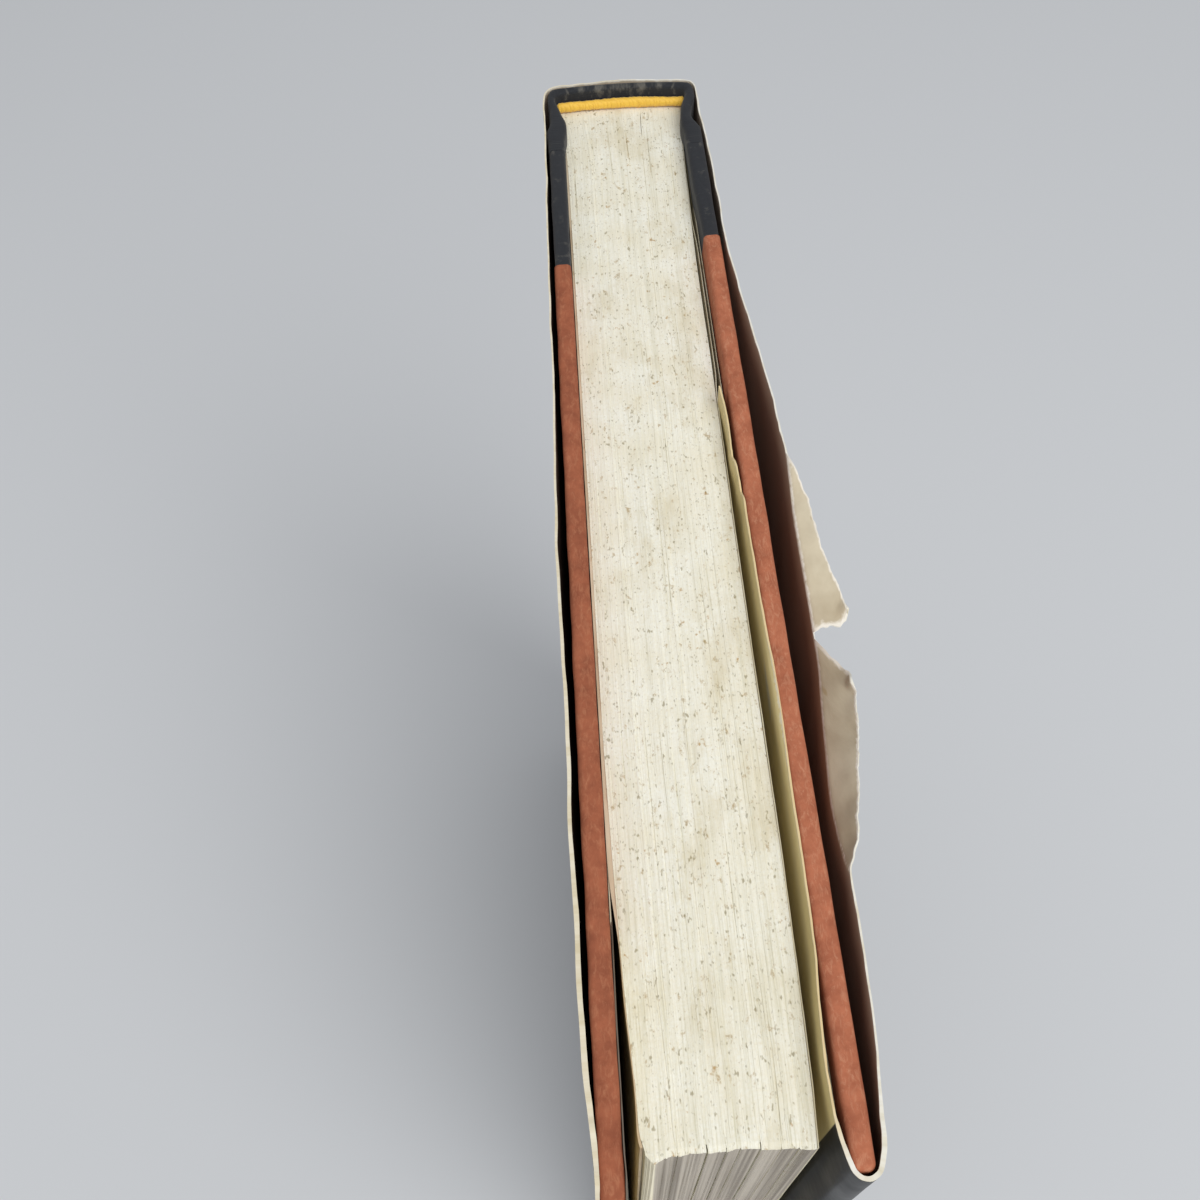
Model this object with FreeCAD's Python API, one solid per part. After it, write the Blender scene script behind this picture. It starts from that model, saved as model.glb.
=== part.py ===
import FreeCAD, Part
import math
import os

# A case-bound book in its paper dust jacket, standing on its tail.
# Millimetres. X runs through the thickness, with the front cover at -X and the back cover at +X.
# Y runs from the fore-edge at -Y to the spine at +Y, and Z from the tail at 0 to the head.
# The origin is the middle of the footprint, on the surface that the book stands on.

FRONT = -1
BACK = 1

# Text block: the gathered leaves, trimmed at head, tail and fore-edge.
LEAF_WIDTH = 143.0
LEAF_HEIGHT = 213.0
BLOCK_THICKNESS = 16.1
SPINE_CROWN = 0.45
SHOULDER = 1.0
SHOULDER_REACH = 14.0
DRAW_REACH = 40.0
FRONT_DRAW = 1.5
BACK_DRAW = 0.1
EASED_SHARE = 0.98
ENDPAPER = 0.12

# The fore-edge is uneven: each group of leaves has its share of the thickness and of the step.
FORE_EDGE_STEP = 0.35
LEAF_SLANT = 0.4
LEAF_GROUPS = ((0.17, 0.1), (0.20, 0.9), (0.30, 0.3), (0.18, 0.8), (0.15, 0.2))

# Case: two boards, a spine inlay, cloth over the spine and joints, paper over the rest.
BOARD = 1.8
BOARD_ARRIS = 0.45
SQUARE = 3.0
FRONT_FORE_SQUARE = 3.8
BACK_FORE_SQUARE = 2.2
CLOTH = 0.2
SIDE_PAPER = 0.2
PAPER_OVERLAP = 3.0
TURN_IN = 15.0
PASTEDOWN = 0.12
PASTEDOWN_MARGIN = 3.0
FRONT_CLOTH_WIDTH = 27.0
BACK_CLOTH_WIDTH = 23.0
INLAY = 0.5
INLAY_OVERHANG = 1.9
CASE_GAP = 0.13
HOLLOW_GAP = 0.05
GLUE_LINE = 0.05
CORNER_SWELL = 0.3
JOINT_BEND = 6.0
EDGE_BEND = 1.2
SPINE_BEND = 0.6
CROWN_SHARE = 0.4

# Spine linings and the bands at head and tail.
MULL = 0.15
MULL_FLANGE = 25.0
MULL_INSET = 12.0
LINING = 0.2
LINING_INSET = 1.0
BAND_DEPTH = 2.1
BAND_RISE = 1.7
BAND_TAPE = 10.0
BAND_ROUNDING = 0.33

# Hinges: each cover turns about an upright axis beside the shoulder.
HINGE_OUT = 0.95
HINGE_IN = 3.3
HINGE_REACH = 5.0
JOINT_CLEARANCE = 0.4
BACK_OPENING = 0.7

# Dust jacket: one sheet of paper round the whole case, in three stretches that meet at the hinges.
JACKET = 0.2
JACKET_GAP = 0.2
JACKET_FLARE = 0.35
JACKET_BEND = 20.0
FOLD_GAP = 0.6
FLAP_WIDTH = 87.6
FRONT_SLACK = 0.75
BACK_SLACK = 0.6
BACK_BULGE = 3.3
PANEL_EASING = 60.0
TEAR_FROM_FOLD = 54.3
TEAR_DEPTH = 4.4
TEAR_GAP = 1.0
TEAR_LEAN = 5.5
TEAR_RUN_BACK = 22.0
TEAR_RUN_FORE = 45.0
EAR_FOLD = 86.0
FLARE_FOLD = 42.0
CREASE = 0.12

# How the panels stand off the boards: shares of the way from fold or tear to hinge, and of the bulge.
FRONT_SWELL = ((0.0, 0.0), (0.12, 0.7), (0.46, 1.0), (0.8, 0.4))
BACK_SWELL = ((0.3, 0.86), (0.46, 0.71), (0.65, 0.08))

# Places worked out from the sizes above.
HALF = BLOCK_THICKNESS / 2
SPINE_Y = LEAF_WIDTH / 2
FORE_Y = -LEAF_WIDTH / 2
TAIL_Z = SQUARE
HEAD_Z = SQUARE + LEAF_HEIGHT
CASE_HEIGHT = LEAF_HEIGHT + 2 * SQUARE
COVERING = max(CLOTH, SIDE_PAPER)
SHOULDER_HALF = HALF + SHOULDER
SHOULDER_Y = SPINE_Y - SPINE_CROWN

HINGE_X = HALF + HINGE_OUT
HINGE_Y = SPINE_Y - HINGE_IN
JOINT_WIDTH = HINGE_IN + HINGE_REACH - JOINT_CLEARANCE

FLAP_X = HALF + ENDPAPER + CASE_GAP
PASTEDOWN_X = FLAP_X + JACKET
LINED_X = PASTEDOWN_X + PASTEDOWN
CORE_IN_X = LINED_X + COVERING
CORE_OUT_X = CORE_IN_X + BOARD
BOARD_BACK_Y = HINGE_Y - HINGE_REACH - JOINT_CLEARANCE - COVERING
BOARD_FORE_Y = {FRONT: FORE_Y - FRONT_FORE_SQUARE, BACK: FORE_Y - BACK_FORE_SQUARE}
FOLD_Y = {side: end - COVERING - FOLD_GAP - JACKET for side, end in BOARD_FORE_Y.items()}

SPINE_LINED = MULL + LINING
INLAY_IN = SPINE_LINED + HOLLOW_GAP + CLOTH
INLAY_OUT = INLAY_IN + INLAY
INLAY_HALF = HALF + INLAY_OVERHANG
CLOTH_OUT = INLAY_OUT + GLUE_LINE + CLOTH
SPINE_OUT = CLOTH_OUT + JACKET_GAP + JACKET
PANEL_X = CORE_OUT_X + COVERING + SIDE_PAPER + JACKET_GAP + JACKET
PANEL_TOP_Y = HINGE_Y - HINGE_REACH - JOINT_CLEARANCE
TEAR_Y = FOLD_Y[BACK] + TEAR_FROM_FOLD


def vec(x, y, z=0.0):
    return FreeCAD.Vector(x, y, z)


def face(edges):
    return Part.Face(Part.Wire(Part.__sortEdges__(edges)))


def raised(flat, low, high):
    return flat.translated(vec(0, 0, low)).extrude(vec(0, 0, high - low))


def single(shape):
    """The one solid of a joined shape, without the seams between the pieces it was joined from."""
    joined = shape.removeSplitter()
    if len(joined.Solids) != 1:
        raise ValueError("a piece has come apart into {} solids".format(len(joined.Solids)))
    return joined.Solids[0]


def slab(x0, x1, y0, y1, z0, z1):
    return Part.makeBox(x1 - x0, y1 - y0, z1 - z0, vec(x0, y0, z0))


def stations(edge):
    """The two ends of a straight edge, or the ends and the middle of an arc."""
    first = edge.FirstParameter
    last = edge.LastParameter
    if edge.Curve.TypeId == "Part::GeomLine":
        return [first, last]
    return [first, (first + last) / 2, last]


def rounded(corners, radii):
    """Straight runs from corner to corner, each corner eased by an arc of its own radius."""
    edges = []
    start = corners[0]
    for before, corner, after, radius in zip(corners, corners[1:], corners[2:], radii):
        back = (before - corner).normalize()
        onward = (after - corner).normalize()
        half = back.getAngle(onward) / 2
        reach = radius / math.tan(half)
        centre = corner + (back + onward).normalize() * (radius / math.sin(half))
        crest = centre + (corner - centre).normalize() * radius
        edges.append(Part.makeLine(start, corner + back * reach))
        start = corner + onward * reach
        edges.append(Part.Arc(corner + back * reach, crest, start).toShape())
    return edges + [Part.makeLine(start, corners[-1])]


def through(points):
    """A straight edge through two points, or an arc through three."""
    if len(points) == 2:
        return Part.makeLine(points[0], points[1])
    return Part.Arc(points[0], points[1], points[2]).toShape()


def strip(edges, thickness):
    """A sheet seen end on: smoothly joined edges run along one face, with the sheet to their left."""
    first = edges[0].valueAt(edges[0].FirstParameter)
    last = edges[-1].valueAt(edges[-1].LastParameter)
    other = []
    points = []
    for edge in edges:
        joined = points[-1:]
        points = []
        for at in stations(edge):
            along = edge.tangentAt(at)
            points.append(edge.valueAt(at) + vec(-along.y, along.x) * thickness)
        points[:len(joined)] = joined
        other.append(points)
    ends = [Part.makeLine(first, other[0][0]), Part.makeLine(last, points[-1])]
    return face(edges + [through(line) for line in other] + ends)


# ---- text block and its endpapers -------------------------------------------------------------

def shoulder_rise(y):
    """How far the backed shoulder swells from the block's side at a place near the spine."""
    return SHOULDER * (1 - (SHOULDER_Y - y) / SHOULDER_REACH) ** 2


def easing(run, rise):
    """Radius of the arc that takes up nearly the whole of a bend between two runs of one length."""
    return EASED_SHARE * run / math.tan(math.atan2(rise, run) / 2)


def side_line(side, offset):
    """The outer leaf seen from the head: out at the shoulder, flat, and drawn in at the fore-edge."""
    draw = FRONT_DRAW if side == FRONT else BACK_DRAW
    flat = side * (HALF + offset)
    shoulder_run = SHOULDER_REACH / 2
    draw_run = DRAW_REACH / 2
    corners = [vec(flat + side * SHOULDER, SHOULDER_Y), vec(flat, SHOULDER_Y - shoulder_run)]
    corners += [vec(flat, FORE_Y + draw_run), vec(flat - side * draw, FORE_Y)]
    return rounded(corners, [easing(shoulder_run, SHOULDER), easing(draw_run, draw)])


def spine_rise(x):
    return -SPINE_CROWN * (x / SHOULDER_HALF) ** 2


def spine_arc(half_width, offset):
    """The crowned spine seen from the head, lying outside the leaves by the offset."""
    end_y = SPINE_Y + spine_rise(half_width) + offset
    return Part.Arc(vec(-half_width, end_y), vec(0, SPINE_Y + offset), vec(half_width, end_y)).toShape()


def fore_edge():
    """The uneven fore-edge: groups of leaves side by side, some a little proud of the others."""
    left = -HALF + FRONT_DRAW
    width = BLOCK_THICKNESS - FRONT_DRAW - BACK_DRAW
    points = [vec(left, FORE_Y)]
    done = 0.0
    for share, proud in LEAF_GROUPS:
        points.append(vec(left + width * done, FORE_Y - FORE_EDGE_STEP * proud))
        done += share
        points.append(vec(left + width * done, FORE_Y - FORE_EDGE_STEP * (proud + LEAF_SLANT)))
    points.append(vec(left + width * done, FORE_Y))
    return Part.makePolygon(points)


def make_text_block():
    edges = side_line(FRONT, 0) + side_line(BACK, 0) + [spine_arc(SHOULDER_HALF, 0)]
    return raised(face(edges + fore_edge().Edges), TAIL_Z, HEAD_Z)


def side_layer(side, inner_offset, outer_offset):
    """A sheet lying along the whole of the block's side, seen end on."""
    inner = side_line(side, inner_offset)
    outer = side_line(side, outer_offset)
    starts = [line[0].firstVertex().Point for line in (inner, outer)]
    stops = [line[-1].lastVertex().Point for line in (inner, outer)]
    return face(inner + outer + [Part.makeLine(*starts), Part.makeLine(*stops)])


def joint_layer(side, inner_offset, outer_offset, low, high):
    """A sheet in the joint: from the shoulder to the edge of what stays with the block."""
    width = SHOULDER_HALF + outer_offset
    joint = slab(-width, width, SPINE_Y - JOINT_WIDTH, SPINE_Y, low, high)
    return raised(side_layer(side, inner_offset, outer_offset), low, high).common(joint)


def make_free_endpaper(side):
    """One leaf beside the block, doubled along the spine where the sheet is folded."""
    leaf = raised(side_layer(side, 0, ENDPAPER), TAIL_Z, HEAD_Z)
    return single(leaf.fuse(joint_layer(side, ENDPAPER, 2 * ENDPAPER, TAIL_Z, HEAD_Z)))


# ---- spine ------------------------------------------------------------------------------------

def spine_layer(inner_offset, outer_offset, half_width, low, high):
    inner = spine_arc(half_width, inner_offset)
    outer = spine_arc(half_width, outer_offset)
    ends = [Part.makeLine(inner.Vertexes[i].Point, outer.Vertexes[i].Point) for i in (0, 1)]
    return raised(face([inner, outer] + ends), low, high)


def make_spine_mull():
    """Open-weave cloth glued to the spine, with a short wing down each joint."""
    low = TAIL_Z + MULL_INSET
    high = HEAD_Z - MULL_INSET
    wing = SHOULDER_HALF + 2 * ENDPAPER + MULL
    pieces = [spine_layer(0, MULL, wing, low, high)]
    for side in (FRONT, BACK):
        pieces.append(joint_layer(side, 2 * ENDPAPER, 2 * ENDPAPER + MULL, low, high))
    return single(pieces[0].multiFuse(pieces[1:]))


def make_spine_lining():
    return spine_layer(MULL, SPINE_LINED, SHOULDER_HALF, TAIL_Z + LINING_INSET, HEAD_Z - LINING_INSET)


def make_spine_inlay():
    return spine_layer(INLAY_IN, INLAY_OUT, INLAY_HALF, CLOTH, CASE_HEIGHT - CLOTH)


def round_spine(half, radii):
    """A sheet's outside in plan, from one joint round the spine to the other, its corners eased."""
    corner = half[-1]
    crown = vec(0, corner.y - 2 * spine_rise(corner.x))
    crown_radius = -CROWN_SHARE * corner.x ** 2 / spine_rise(corner.x)
    path = half + [crown] + [vec(-p.x, p.y) for p in half[::-1]]
    return rounded(path, radii + [crown_radius] + radii[::-1])


def make_spine_cloth():
    """The book cloth down both joints and round the spine inlay, turned in over it at head and tail."""
    under = 2 * ENDPAPER + MULL + GLUE_LINE + CLOTH
    corner = INLAY_HALF + CORNER_SWELL + CLOTH
    corner_y = SPINE_Y + CLOTH_OUT + spine_rise(corner)
    joint_y = SPINE_Y - JOINT_WIDTH
    half = [vec(HALF + shoulder_rise(y) + under, y) for y in (joint_y, HINGE_Y - EDGE_BEND)]
    half += [vec(corner, HINGE_Y + EDGE_BEND), vec(corner, corner_y)]
    bends = [JOINT_BEND, EDGE_BEND, SPINE_BEND]
    cloth = raised(strip(round_spine(half, bends), CLOTH), 0, CASE_HEIGHT)
    inner = INLAY_IN - CLOTH
    for low, cap in ((0, 0), (CASE_HEIGHT - TURN_IN, CASE_HEIGHT - CLOTH)):
        turned = spine_layer(inner, INLAY_IN, INLAY_HALF - CLOTH, low, low + TURN_IN)
        edge = spine_layer(inner, CLOTH_OUT - CLOTH / 2, INLAY_HALF - CLOTH, cap, cap + CLOTH)
        cloth = cloth.fuse(turned.fuse(edge))
    return single(cloth)


def make_band(head):
    """A rounded bead on the block's edge, with a tape that is glued down the spine."""
    radius = (SHOULDER_HALF ** 2 + SPINE_CROWN ** 2) / (2 * SPINE_CROWN)
    edge = HEAD_Z if head else TAIL_Z
    up = 1 if head else -1
    back = SPINE_Y + MULL
    front = SPINE_Y - BAND_DEPTH
    low = vec(0, back, edge - up * BAND_TAPE)
    inner_low = vec(0, SPINE_Y, edge - up * BAND_TAPE)
    corner = vec(0, SPINE_Y, edge)
    toe = vec(0, front, edge)
    toe_top = vec(0, front, edge + up * BAND_RISE * BAND_ROUNDING)
    crest = vec(0, (front + back) / 2, edge + up * BAND_RISE)
    heel_top = vec(0, back, edge + up * BAND_RISE * BAND_ROUNDING)
    outline = [Part.makeLine(low, inner_low), Part.makeLine(inner_low, corner), Part.makeLine(corner, toe)]
    outline += [Part.makeLine(toe, toe_top), Part.Arc(toe_top, crest, heel_top).toShape()]
    outline.append(Part.makeLine(heel_top, low))
    half_turn = math.degrees(math.asin(SHOULDER_HALF / radius))
    centre = vec(0, SPINE_Y - radius)
    section = face(outline)
    section.rotate(centre, vec(0, 0, 1), -half_turn)
    return section.revolve(centre, vec(0, 0, 1), 2 * half_turn)


# ---- covers, built closed on the back cover's side ----------------------------------------------

def board(side, growth):
    """The board with its arrises eased, grown all round by a covering's thickness."""
    body = slab(CORE_IN_X - growth, CORE_OUT_X + growth, BOARD_FORE_Y[side] - growth, BOARD_BACK_Y + growth,
                COVERING - growth, CASE_HEIGHT - COVERING + growth)
    return body.makeFillet(BOARD_ARRIS + growth, body.Edges).Solids[0]


def cover_skin(side, inner, outer, fore, back):
    """A stretch of covering round the board, open inside past the turn-ins."""
    skin = board(side, outer).cut(board(side, inner))
    keep = slab(0, CORE_OUT_X + TURN_IN, fore, back, -TURN_IN, CASE_HEIGHT + TURN_IN)
    window = slab(0, CORE_IN_X, BOARD_FORE_Y[side] + TURN_IN, SPINE_Y, TURN_IN, CASE_HEIGHT - TURN_IN)
    return skin.common(keep).cut(window)


def cloth_line(side):
    width = FRONT_CLOTH_WIDTH if side == FRONT else BACK_CLOTH_WIDTH
    return BOARD_BACK_Y - width


def make_cloth(side):
    return single(cover_skin(side, 0, CLOTH, cloth_line(side) - PAPER_OVERLAP, SPINE_Y))


def make_side_paper(side):
    """Paper over the fore part of the board, lapped over the edge of the cloth outside."""
    line = cloth_line(side)
    under_end = line - PAPER_OVERLAP
    paper = cover_skin(side, 0, SIDE_PAPER, BOARD_FORE_Y[side] - TURN_IN, under_end)
    lap = cover_skin(side, CLOTH, CLOTH + SIDE_PAPER, under_end, line)
    step = cover_skin(side, 0, CLOTH + SIDE_PAPER, under_end - SIDE_PAPER, under_end)
    low = COVERING / 2
    outside = slab(CORE_IN_X, CORE_OUT_X + TURN_IN, BOARD_FORE_Y[side], SPINE_Y, low, CASE_HEIGHT - low)
    return single(paper.fuse(lap.fuse(step).common(outside)))


def make_mull_flange():
    """The mull's free flange, glued to the inside of the board between the turn-ins."""
    low = TAIL_Z + MULL_INSET
    fore = BOARD_BACK_Y - MULL_FLANGE
    return slab(CORE_IN_X - MULL, CORE_IN_X, fore, BOARD_BACK_Y, low, CASE_HEIGHT - low)


def make_pastedown(side):
    """The pasted half of the endpaper: it covers the turn-ins and sinks to the board between them."""
    fore = BOARD_FORE_Y[side] + PASTEDOWN_MARGIN
    sheet = slab(PASTEDOWN_X, LINED_X, fore, BOARD_BACK_Y + COVERING, TAIL_Z, HEAD_Z)
    sunk = slab(LINED_X, CORE_IN_X, BOARD_FORE_Y[side] + TURN_IN, BOARD_BACK_Y, TURN_IN, CASE_HEIGHT - TURN_IN)
    return single(sheet.fuse(sunk).cut(make_mull_flange()))


def jacket_sheet(fold_y, swells):
    """Flap, fold and panel in one sheet. Each swell is a place on the panel and its distance from flat."""
    panel = [vec(PANEL_X + out, y) for y, out in swells]
    fold_corners = [vec(FLAP_X, fold_y), vec(panel[0].x, fold_y)]
    fold_radius = EASED_SHARE * (panel[0].x - FLAP_X) / 2
    path = [vec(FLAP_X, fold_y + FLAP_WIDTH)] + fold_corners + panel[1:] + [vec(PANEL_X, PANEL_TOP_Y)]
    radii = [fold_radius, fold_radius] + [PANEL_EASING] * (len(panel) - 1)
    return raised(strip(rounded(path, radii), JACKET), 0, CASE_HEIGHT)


def make_front_jacket():
    """The front panel, the fold round the fore-edge and the flap tucked inside the cover."""
    fold_y = FOLD_Y[FRONT]
    width = PANEL_TOP_Y - fold_y
    return jacket_sheet(fold_y, [(fold_y + width * share, FRONT_SLACK * out) for share, out in FRONT_SWELL])


def ear(near, far, fold_angle, lean):
    """A torn corner of the panel, bent outwards along a rounded crease. Its torn edge may lean."""
    crease = far - near
    side = 1 if far.y > near.y else -1
    corner = near + crease * (side * lean / crease.y)
    corner.z = CASE_HEIGHT
    flat = Part.Face(Part.makePolygon([near, far, corner, near])).extrude(vec(-JACKET, 0, 0))
    flat.rotate(near, crease, side * fold_angle)
    return flat.fuse(Part.makeCylinder(CREASE, crease.Length, near, crease))


def make_back_jacket():
    """The back panel with its head torn and turned out, the fold round the fore-edge and the flap."""
    width = PANEL_TOP_Y - TEAR_Y
    swells = [(FOLD_Y[BACK], BACK_SLACK), (TEAR_Y, BACK_BULGE)]
    swells += [(TEAR_Y + width * share, BACK_BULGE * out) for share, out in BACK_SWELL]
    sheet = jacket_sheet(FOLD_Y[BACK], swells)
    fore_slope = (BACK_BULGE - BACK_SLACK) / TEAR_FROM_FOLD
    back_slope = BACK_BULGE * (BACK_SWELL[0][1] - 1) / (width * BACK_SWELL[0][0])
    bulge_x = PANEL_X + BACK_BULGE - JACKET / 2
    low = CASE_HEIGHT - TEAR_DEPTH
    top = CASE_HEIGHT - CREASE
    ends = []
    for start, run, slope in ((0, -TEAR_RUN_FORE, fore_slope), (TEAR_GAP, TEAR_RUN_BACK, back_slope)):
        near = vec(bulge_x + slope * start, TEAR_Y + start, low)
        ends.append((near, vec(bulge_x + slope * run, TEAR_Y + run, top)))
    mouth = [ends[0][1], ends[0][0], ends[1][0], ends[1][1]]
    above = [mouth[-1] + vec(0, 0, TEAR_DEPTH), mouth[0] + vec(0, 0, TEAR_DEPTH)]
    outline = [vec(CORE_OUT_X + COVERING, p.y, p.z) for p in mouth + above]
    cutter = Part.Face(Part.makePolygon(outline + outline[:1])).extrude(vec(BLOCK_THICKNESS, 0, 0))
    fore_ear = ear(ends[0][0], ends[0][1], FLARE_FOLD, TEAR_LEAN)
    back_ear = ear(ends[1][0], ends[1][1], EAR_FOLD, 0)
    return single(sheet.cut(cutter).multiFuse([fore_ear, back_ear]))


def make_spine_jacket():
    """The jacket round the spine, from hinge to hinge."""
    corner = INLAY_HALF + CORNER_SWELL + CLOTH + JACKET_GAP + JACKET
    corner_y = SPINE_Y + SPINE_OUT + spine_rise(corner)
    half = [vec(corner + JACKET_FLARE, SPINE_Y - JOINT_WIDTH), vec(corner + JACKET_FLARE / 4, HINGE_Y)]
    half.append(vec(corner, corner_y))
    bends = [JACKET_BEND, SPINE_BEND + JACKET_GAP + JACKET]
    return raised(strip(round_spine(half, bends), JACKET), 0, CASE_HEIGHT)


# ---- assembly ---------------------------------------------------------------------------------

def placed(shape, side):
    """Carry a closed back cover's piece to its own side, the back cover standing a little open."""
    if side == FRONT:
        return shape.mirror(vec(0, 0), vec(1, 0, 0))
    return shape.rotated(vec(HINGE_X, HINGE_Y), vec(0, 0, 1), BACK_OPENING)


def make_book():
    book = {
        "text_block": make_text_block(),
        "headband": make_band(True),
        "tailband": make_band(False),
        "spine_mull": make_spine_mull(),
        "spine_lining": make_spine_lining(),
        "spine_inlay": make_spine_inlay(),
        "spine_cloth": make_spine_cloth(),
        "jacket_spine": make_spine_jacket(),
    }
    jackets = {FRONT: make_front_jacket, BACK: make_back_jacket}
    for name, side in (("front", FRONT), ("back", BACK)):
        book[name + "_free_endpaper"] = make_free_endpaper(side)
        book[name + "_board"] = placed(board(side, 0), side)
        book[name + "_cloth"] = placed(make_cloth(side), side)
        book[name + "_side_paper"] = placed(make_side_paper(side), side)
        book[name + "_mull_flange"] = placed(make_mull_flange(), side)
        book[name + "_pastedown"] = placed(make_pastedown(side), side)
        book["jacket_" + name] = placed(jackets[side](), side)
    return book


def main():
    os.makedirs("parts", exist_ok=True)
    book = make_book()
    box = Part.makeCompound(list(book.values())).optimalBoundingBox(False)
    stand = vec(-(box.XMin + box.XMax) / 2, -(box.YMin + box.YMax) / 2, -box.ZMin)
    for name, shape in book.items():
        shape.translated(stand).exportStep("parts/{}.step".format(name))
    hinges = (stand.x - HINGE_X, stand.x + HINGE_X, stand.y + HINGE_Y)
    print("hinges at x {:.3f} and {:.3f}, y {:.3f}".format(*hinges))
    print("block centre at x {:.3f}, y {:.3f}, z {:.3f}".format(stand.x, stand.y, stand.z))


main()
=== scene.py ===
"""The looks of a case-bound book in a torn dust jacket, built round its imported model."""

import logging
import math
from collections.abc import Sequence
from dataclasses import dataclass
from enum import Enum

import bmesh
import bpy
import numpy as np
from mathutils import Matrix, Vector


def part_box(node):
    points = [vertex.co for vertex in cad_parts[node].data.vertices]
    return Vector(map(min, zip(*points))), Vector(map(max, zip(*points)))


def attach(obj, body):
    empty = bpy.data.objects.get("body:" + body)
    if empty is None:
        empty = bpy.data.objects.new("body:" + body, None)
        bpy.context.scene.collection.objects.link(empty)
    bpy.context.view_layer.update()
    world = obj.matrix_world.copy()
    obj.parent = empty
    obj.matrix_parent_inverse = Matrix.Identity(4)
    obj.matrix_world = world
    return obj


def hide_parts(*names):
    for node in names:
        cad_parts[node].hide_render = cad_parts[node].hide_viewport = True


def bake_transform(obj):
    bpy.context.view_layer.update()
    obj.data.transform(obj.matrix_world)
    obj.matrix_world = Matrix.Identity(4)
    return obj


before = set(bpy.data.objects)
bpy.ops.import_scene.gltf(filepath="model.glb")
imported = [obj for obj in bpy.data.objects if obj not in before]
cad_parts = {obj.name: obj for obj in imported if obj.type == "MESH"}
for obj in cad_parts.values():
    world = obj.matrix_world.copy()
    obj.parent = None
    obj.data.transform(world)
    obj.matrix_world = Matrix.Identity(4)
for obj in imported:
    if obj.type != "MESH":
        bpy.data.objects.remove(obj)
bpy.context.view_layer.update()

log = logging.getLogger("book")

Tree = bpy.types.NodeTree
Socket = bpy.types.NodeSocket
Material = bpy.types.Material
Piece = bpy.types.Object
Line = tuple[tuple[float, float], ...]

# Everything is worked out in millimetres from the middle of the leaves, and turned to metres at the end.
MM = 0.001
ROOT = "book_block"

# The book's main sizes, as in the construction.
HALF_BLOCK = 8.05
SPINE_Y = 71.5
FORE_Y = -71.5
TAIL_Z = 3.0
HEAD_Z = 216.0
CASE_HEIGHT = 219.0
SHOULDER = 1.0
SPINE_CROWN = 0.45
HINGE_X = 9.0
HINGE_Y = 68.2
BACK_OPENING = math.radians(0.7)
BACK_CLOSING = math.radians(0.4)
BOARD_IN_X = 8.62
BOARD_OUT_X = 10.82
BOARD_BACK_Y = 62.8
PASTEDOWN_X = 8.5
ENDPAPER = 0.12
# Where a jacket panel lies that hugs its board.
PANEL_X = 11.45
# How finely a smooth line is worked out between two of its points.
STEPS_BETWEEN = 60
# Two places across the joint, which blend_hinge works out for each sheet and does not use.
BLEND_START_Y = 69.6
BLEND_END_Y = 63.0
# Edges sharper than this are shaded as edges.
SHARP = math.radians(50)


class Side(Enum):
    """The book's two covers. The value is the sign of X on that side."""

    FRONT = -1
    BACK = 1

    @property
    def label(self) -> str:
        """The word that starts the names of this side's pieces."""
        return self.name.lower()

    @property
    def body(self) -> str:
        """The body that this side's cover belongs to."""
        return self.label + "_cover"

    @property
    def board_fore(self) -> float:
        """Where this side's covered board ends at the fore-edge."""
        return -75.5 if self is Side.FRONT else -73.9


@dataclass(frozen=True)
class Datum:
    """The point that the book's own millimetres are counted from."""

    x: float
    y: float

    @classmethod
    def read(cls) -> "Datum":
        """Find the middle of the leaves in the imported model."""
        low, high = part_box("text_block")
        return cls((low.x + high.x) / 2, high.y - SPINE_Y * MM)

    def metres(self, points: np.ndarray) -> np.ndarray:
        """Turn points in the book's millimetres to the model's metres.

        Args:
            points: places in millimetres, with x, y and z along the last axis.

        Returns:
            The same places in metres, in the model's frame.
        """
        return points * MM + np.array([self.x, self.y, 0.0])


DATUM = Datum.read()


# ---- plain geometry ------------------------------------------------------------------------------


def ease(low: float, high: float, value: np.ndarray | float) -> np.ndarray:
    """Rise smoothly from 0 at low to 1 at high.

    Args:
        low: where the rise starts. It may be above high, for a fall.
        high: where the rise ends.
        value: the places to read.

    Returns:
        The height of the rise at each place.
    """
    share = np.clip((np.asarray(value, float) - low) / (high - low), 0, 1)
    return share * share * (3 - 2 * share)


class Waves:
    """A smooth unevenness over a surface: sine waves of random heading and phase, the same each time."""

    def __init__(self, seed: int, lengths: Sequence[float]) -> None:
        """Choose the waves.

        Args:
            seed: a number of this surface's own.
            lengths: wavelengths in millimetres, each used for three waves.
        """
        draw = np.random.default_rng(seed)
        turns = 2 * math.pi / np.repeat(np.asarray(lengths, float), 3)
        heading = draw.uniform(0, 2 * math.pi, len(turns))
        self.along = turns * np.cos(heading)
        self.across = turns * np.sin(heading)
        self.phase = draw.uniform(0, 2 * math.pi, len(turns))

    def at(self, a: np.ndarray, b: np.ndarray | float = 0.0) -> np.ndarray:
        """Read the unevenness.

        Args:
            a: places along the surface, in millimetres.
            b: places across it.

        Returns:
            Values that mostly lie between -1 and 1.
        """
        a, b = np.broadcast_arrays(np.asarray(a, float), np.asarray(b, float))
        waves = np.sin(a[..., None] * self.along + b[..., None] * self.across + self.phase)
        return waves.sum(-1) / math.sqrt(len(self.phase) * 1.5)


def read(line: Sequence[tuple[float, float]], at: np.ndarray) -> np.ndarray:
    """Read a line of places and values at other places."""
    return np.interp(at, *np.asarray(line, float).T)


def distances(path: np.ndarray) -> np.ndarray:
    """How far along a path each of its places lies."""
    return np.concatenate([[0.0], np.cumsum(np.linalg.norm(np.diff(path, axis=0), axis=1))])


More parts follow.
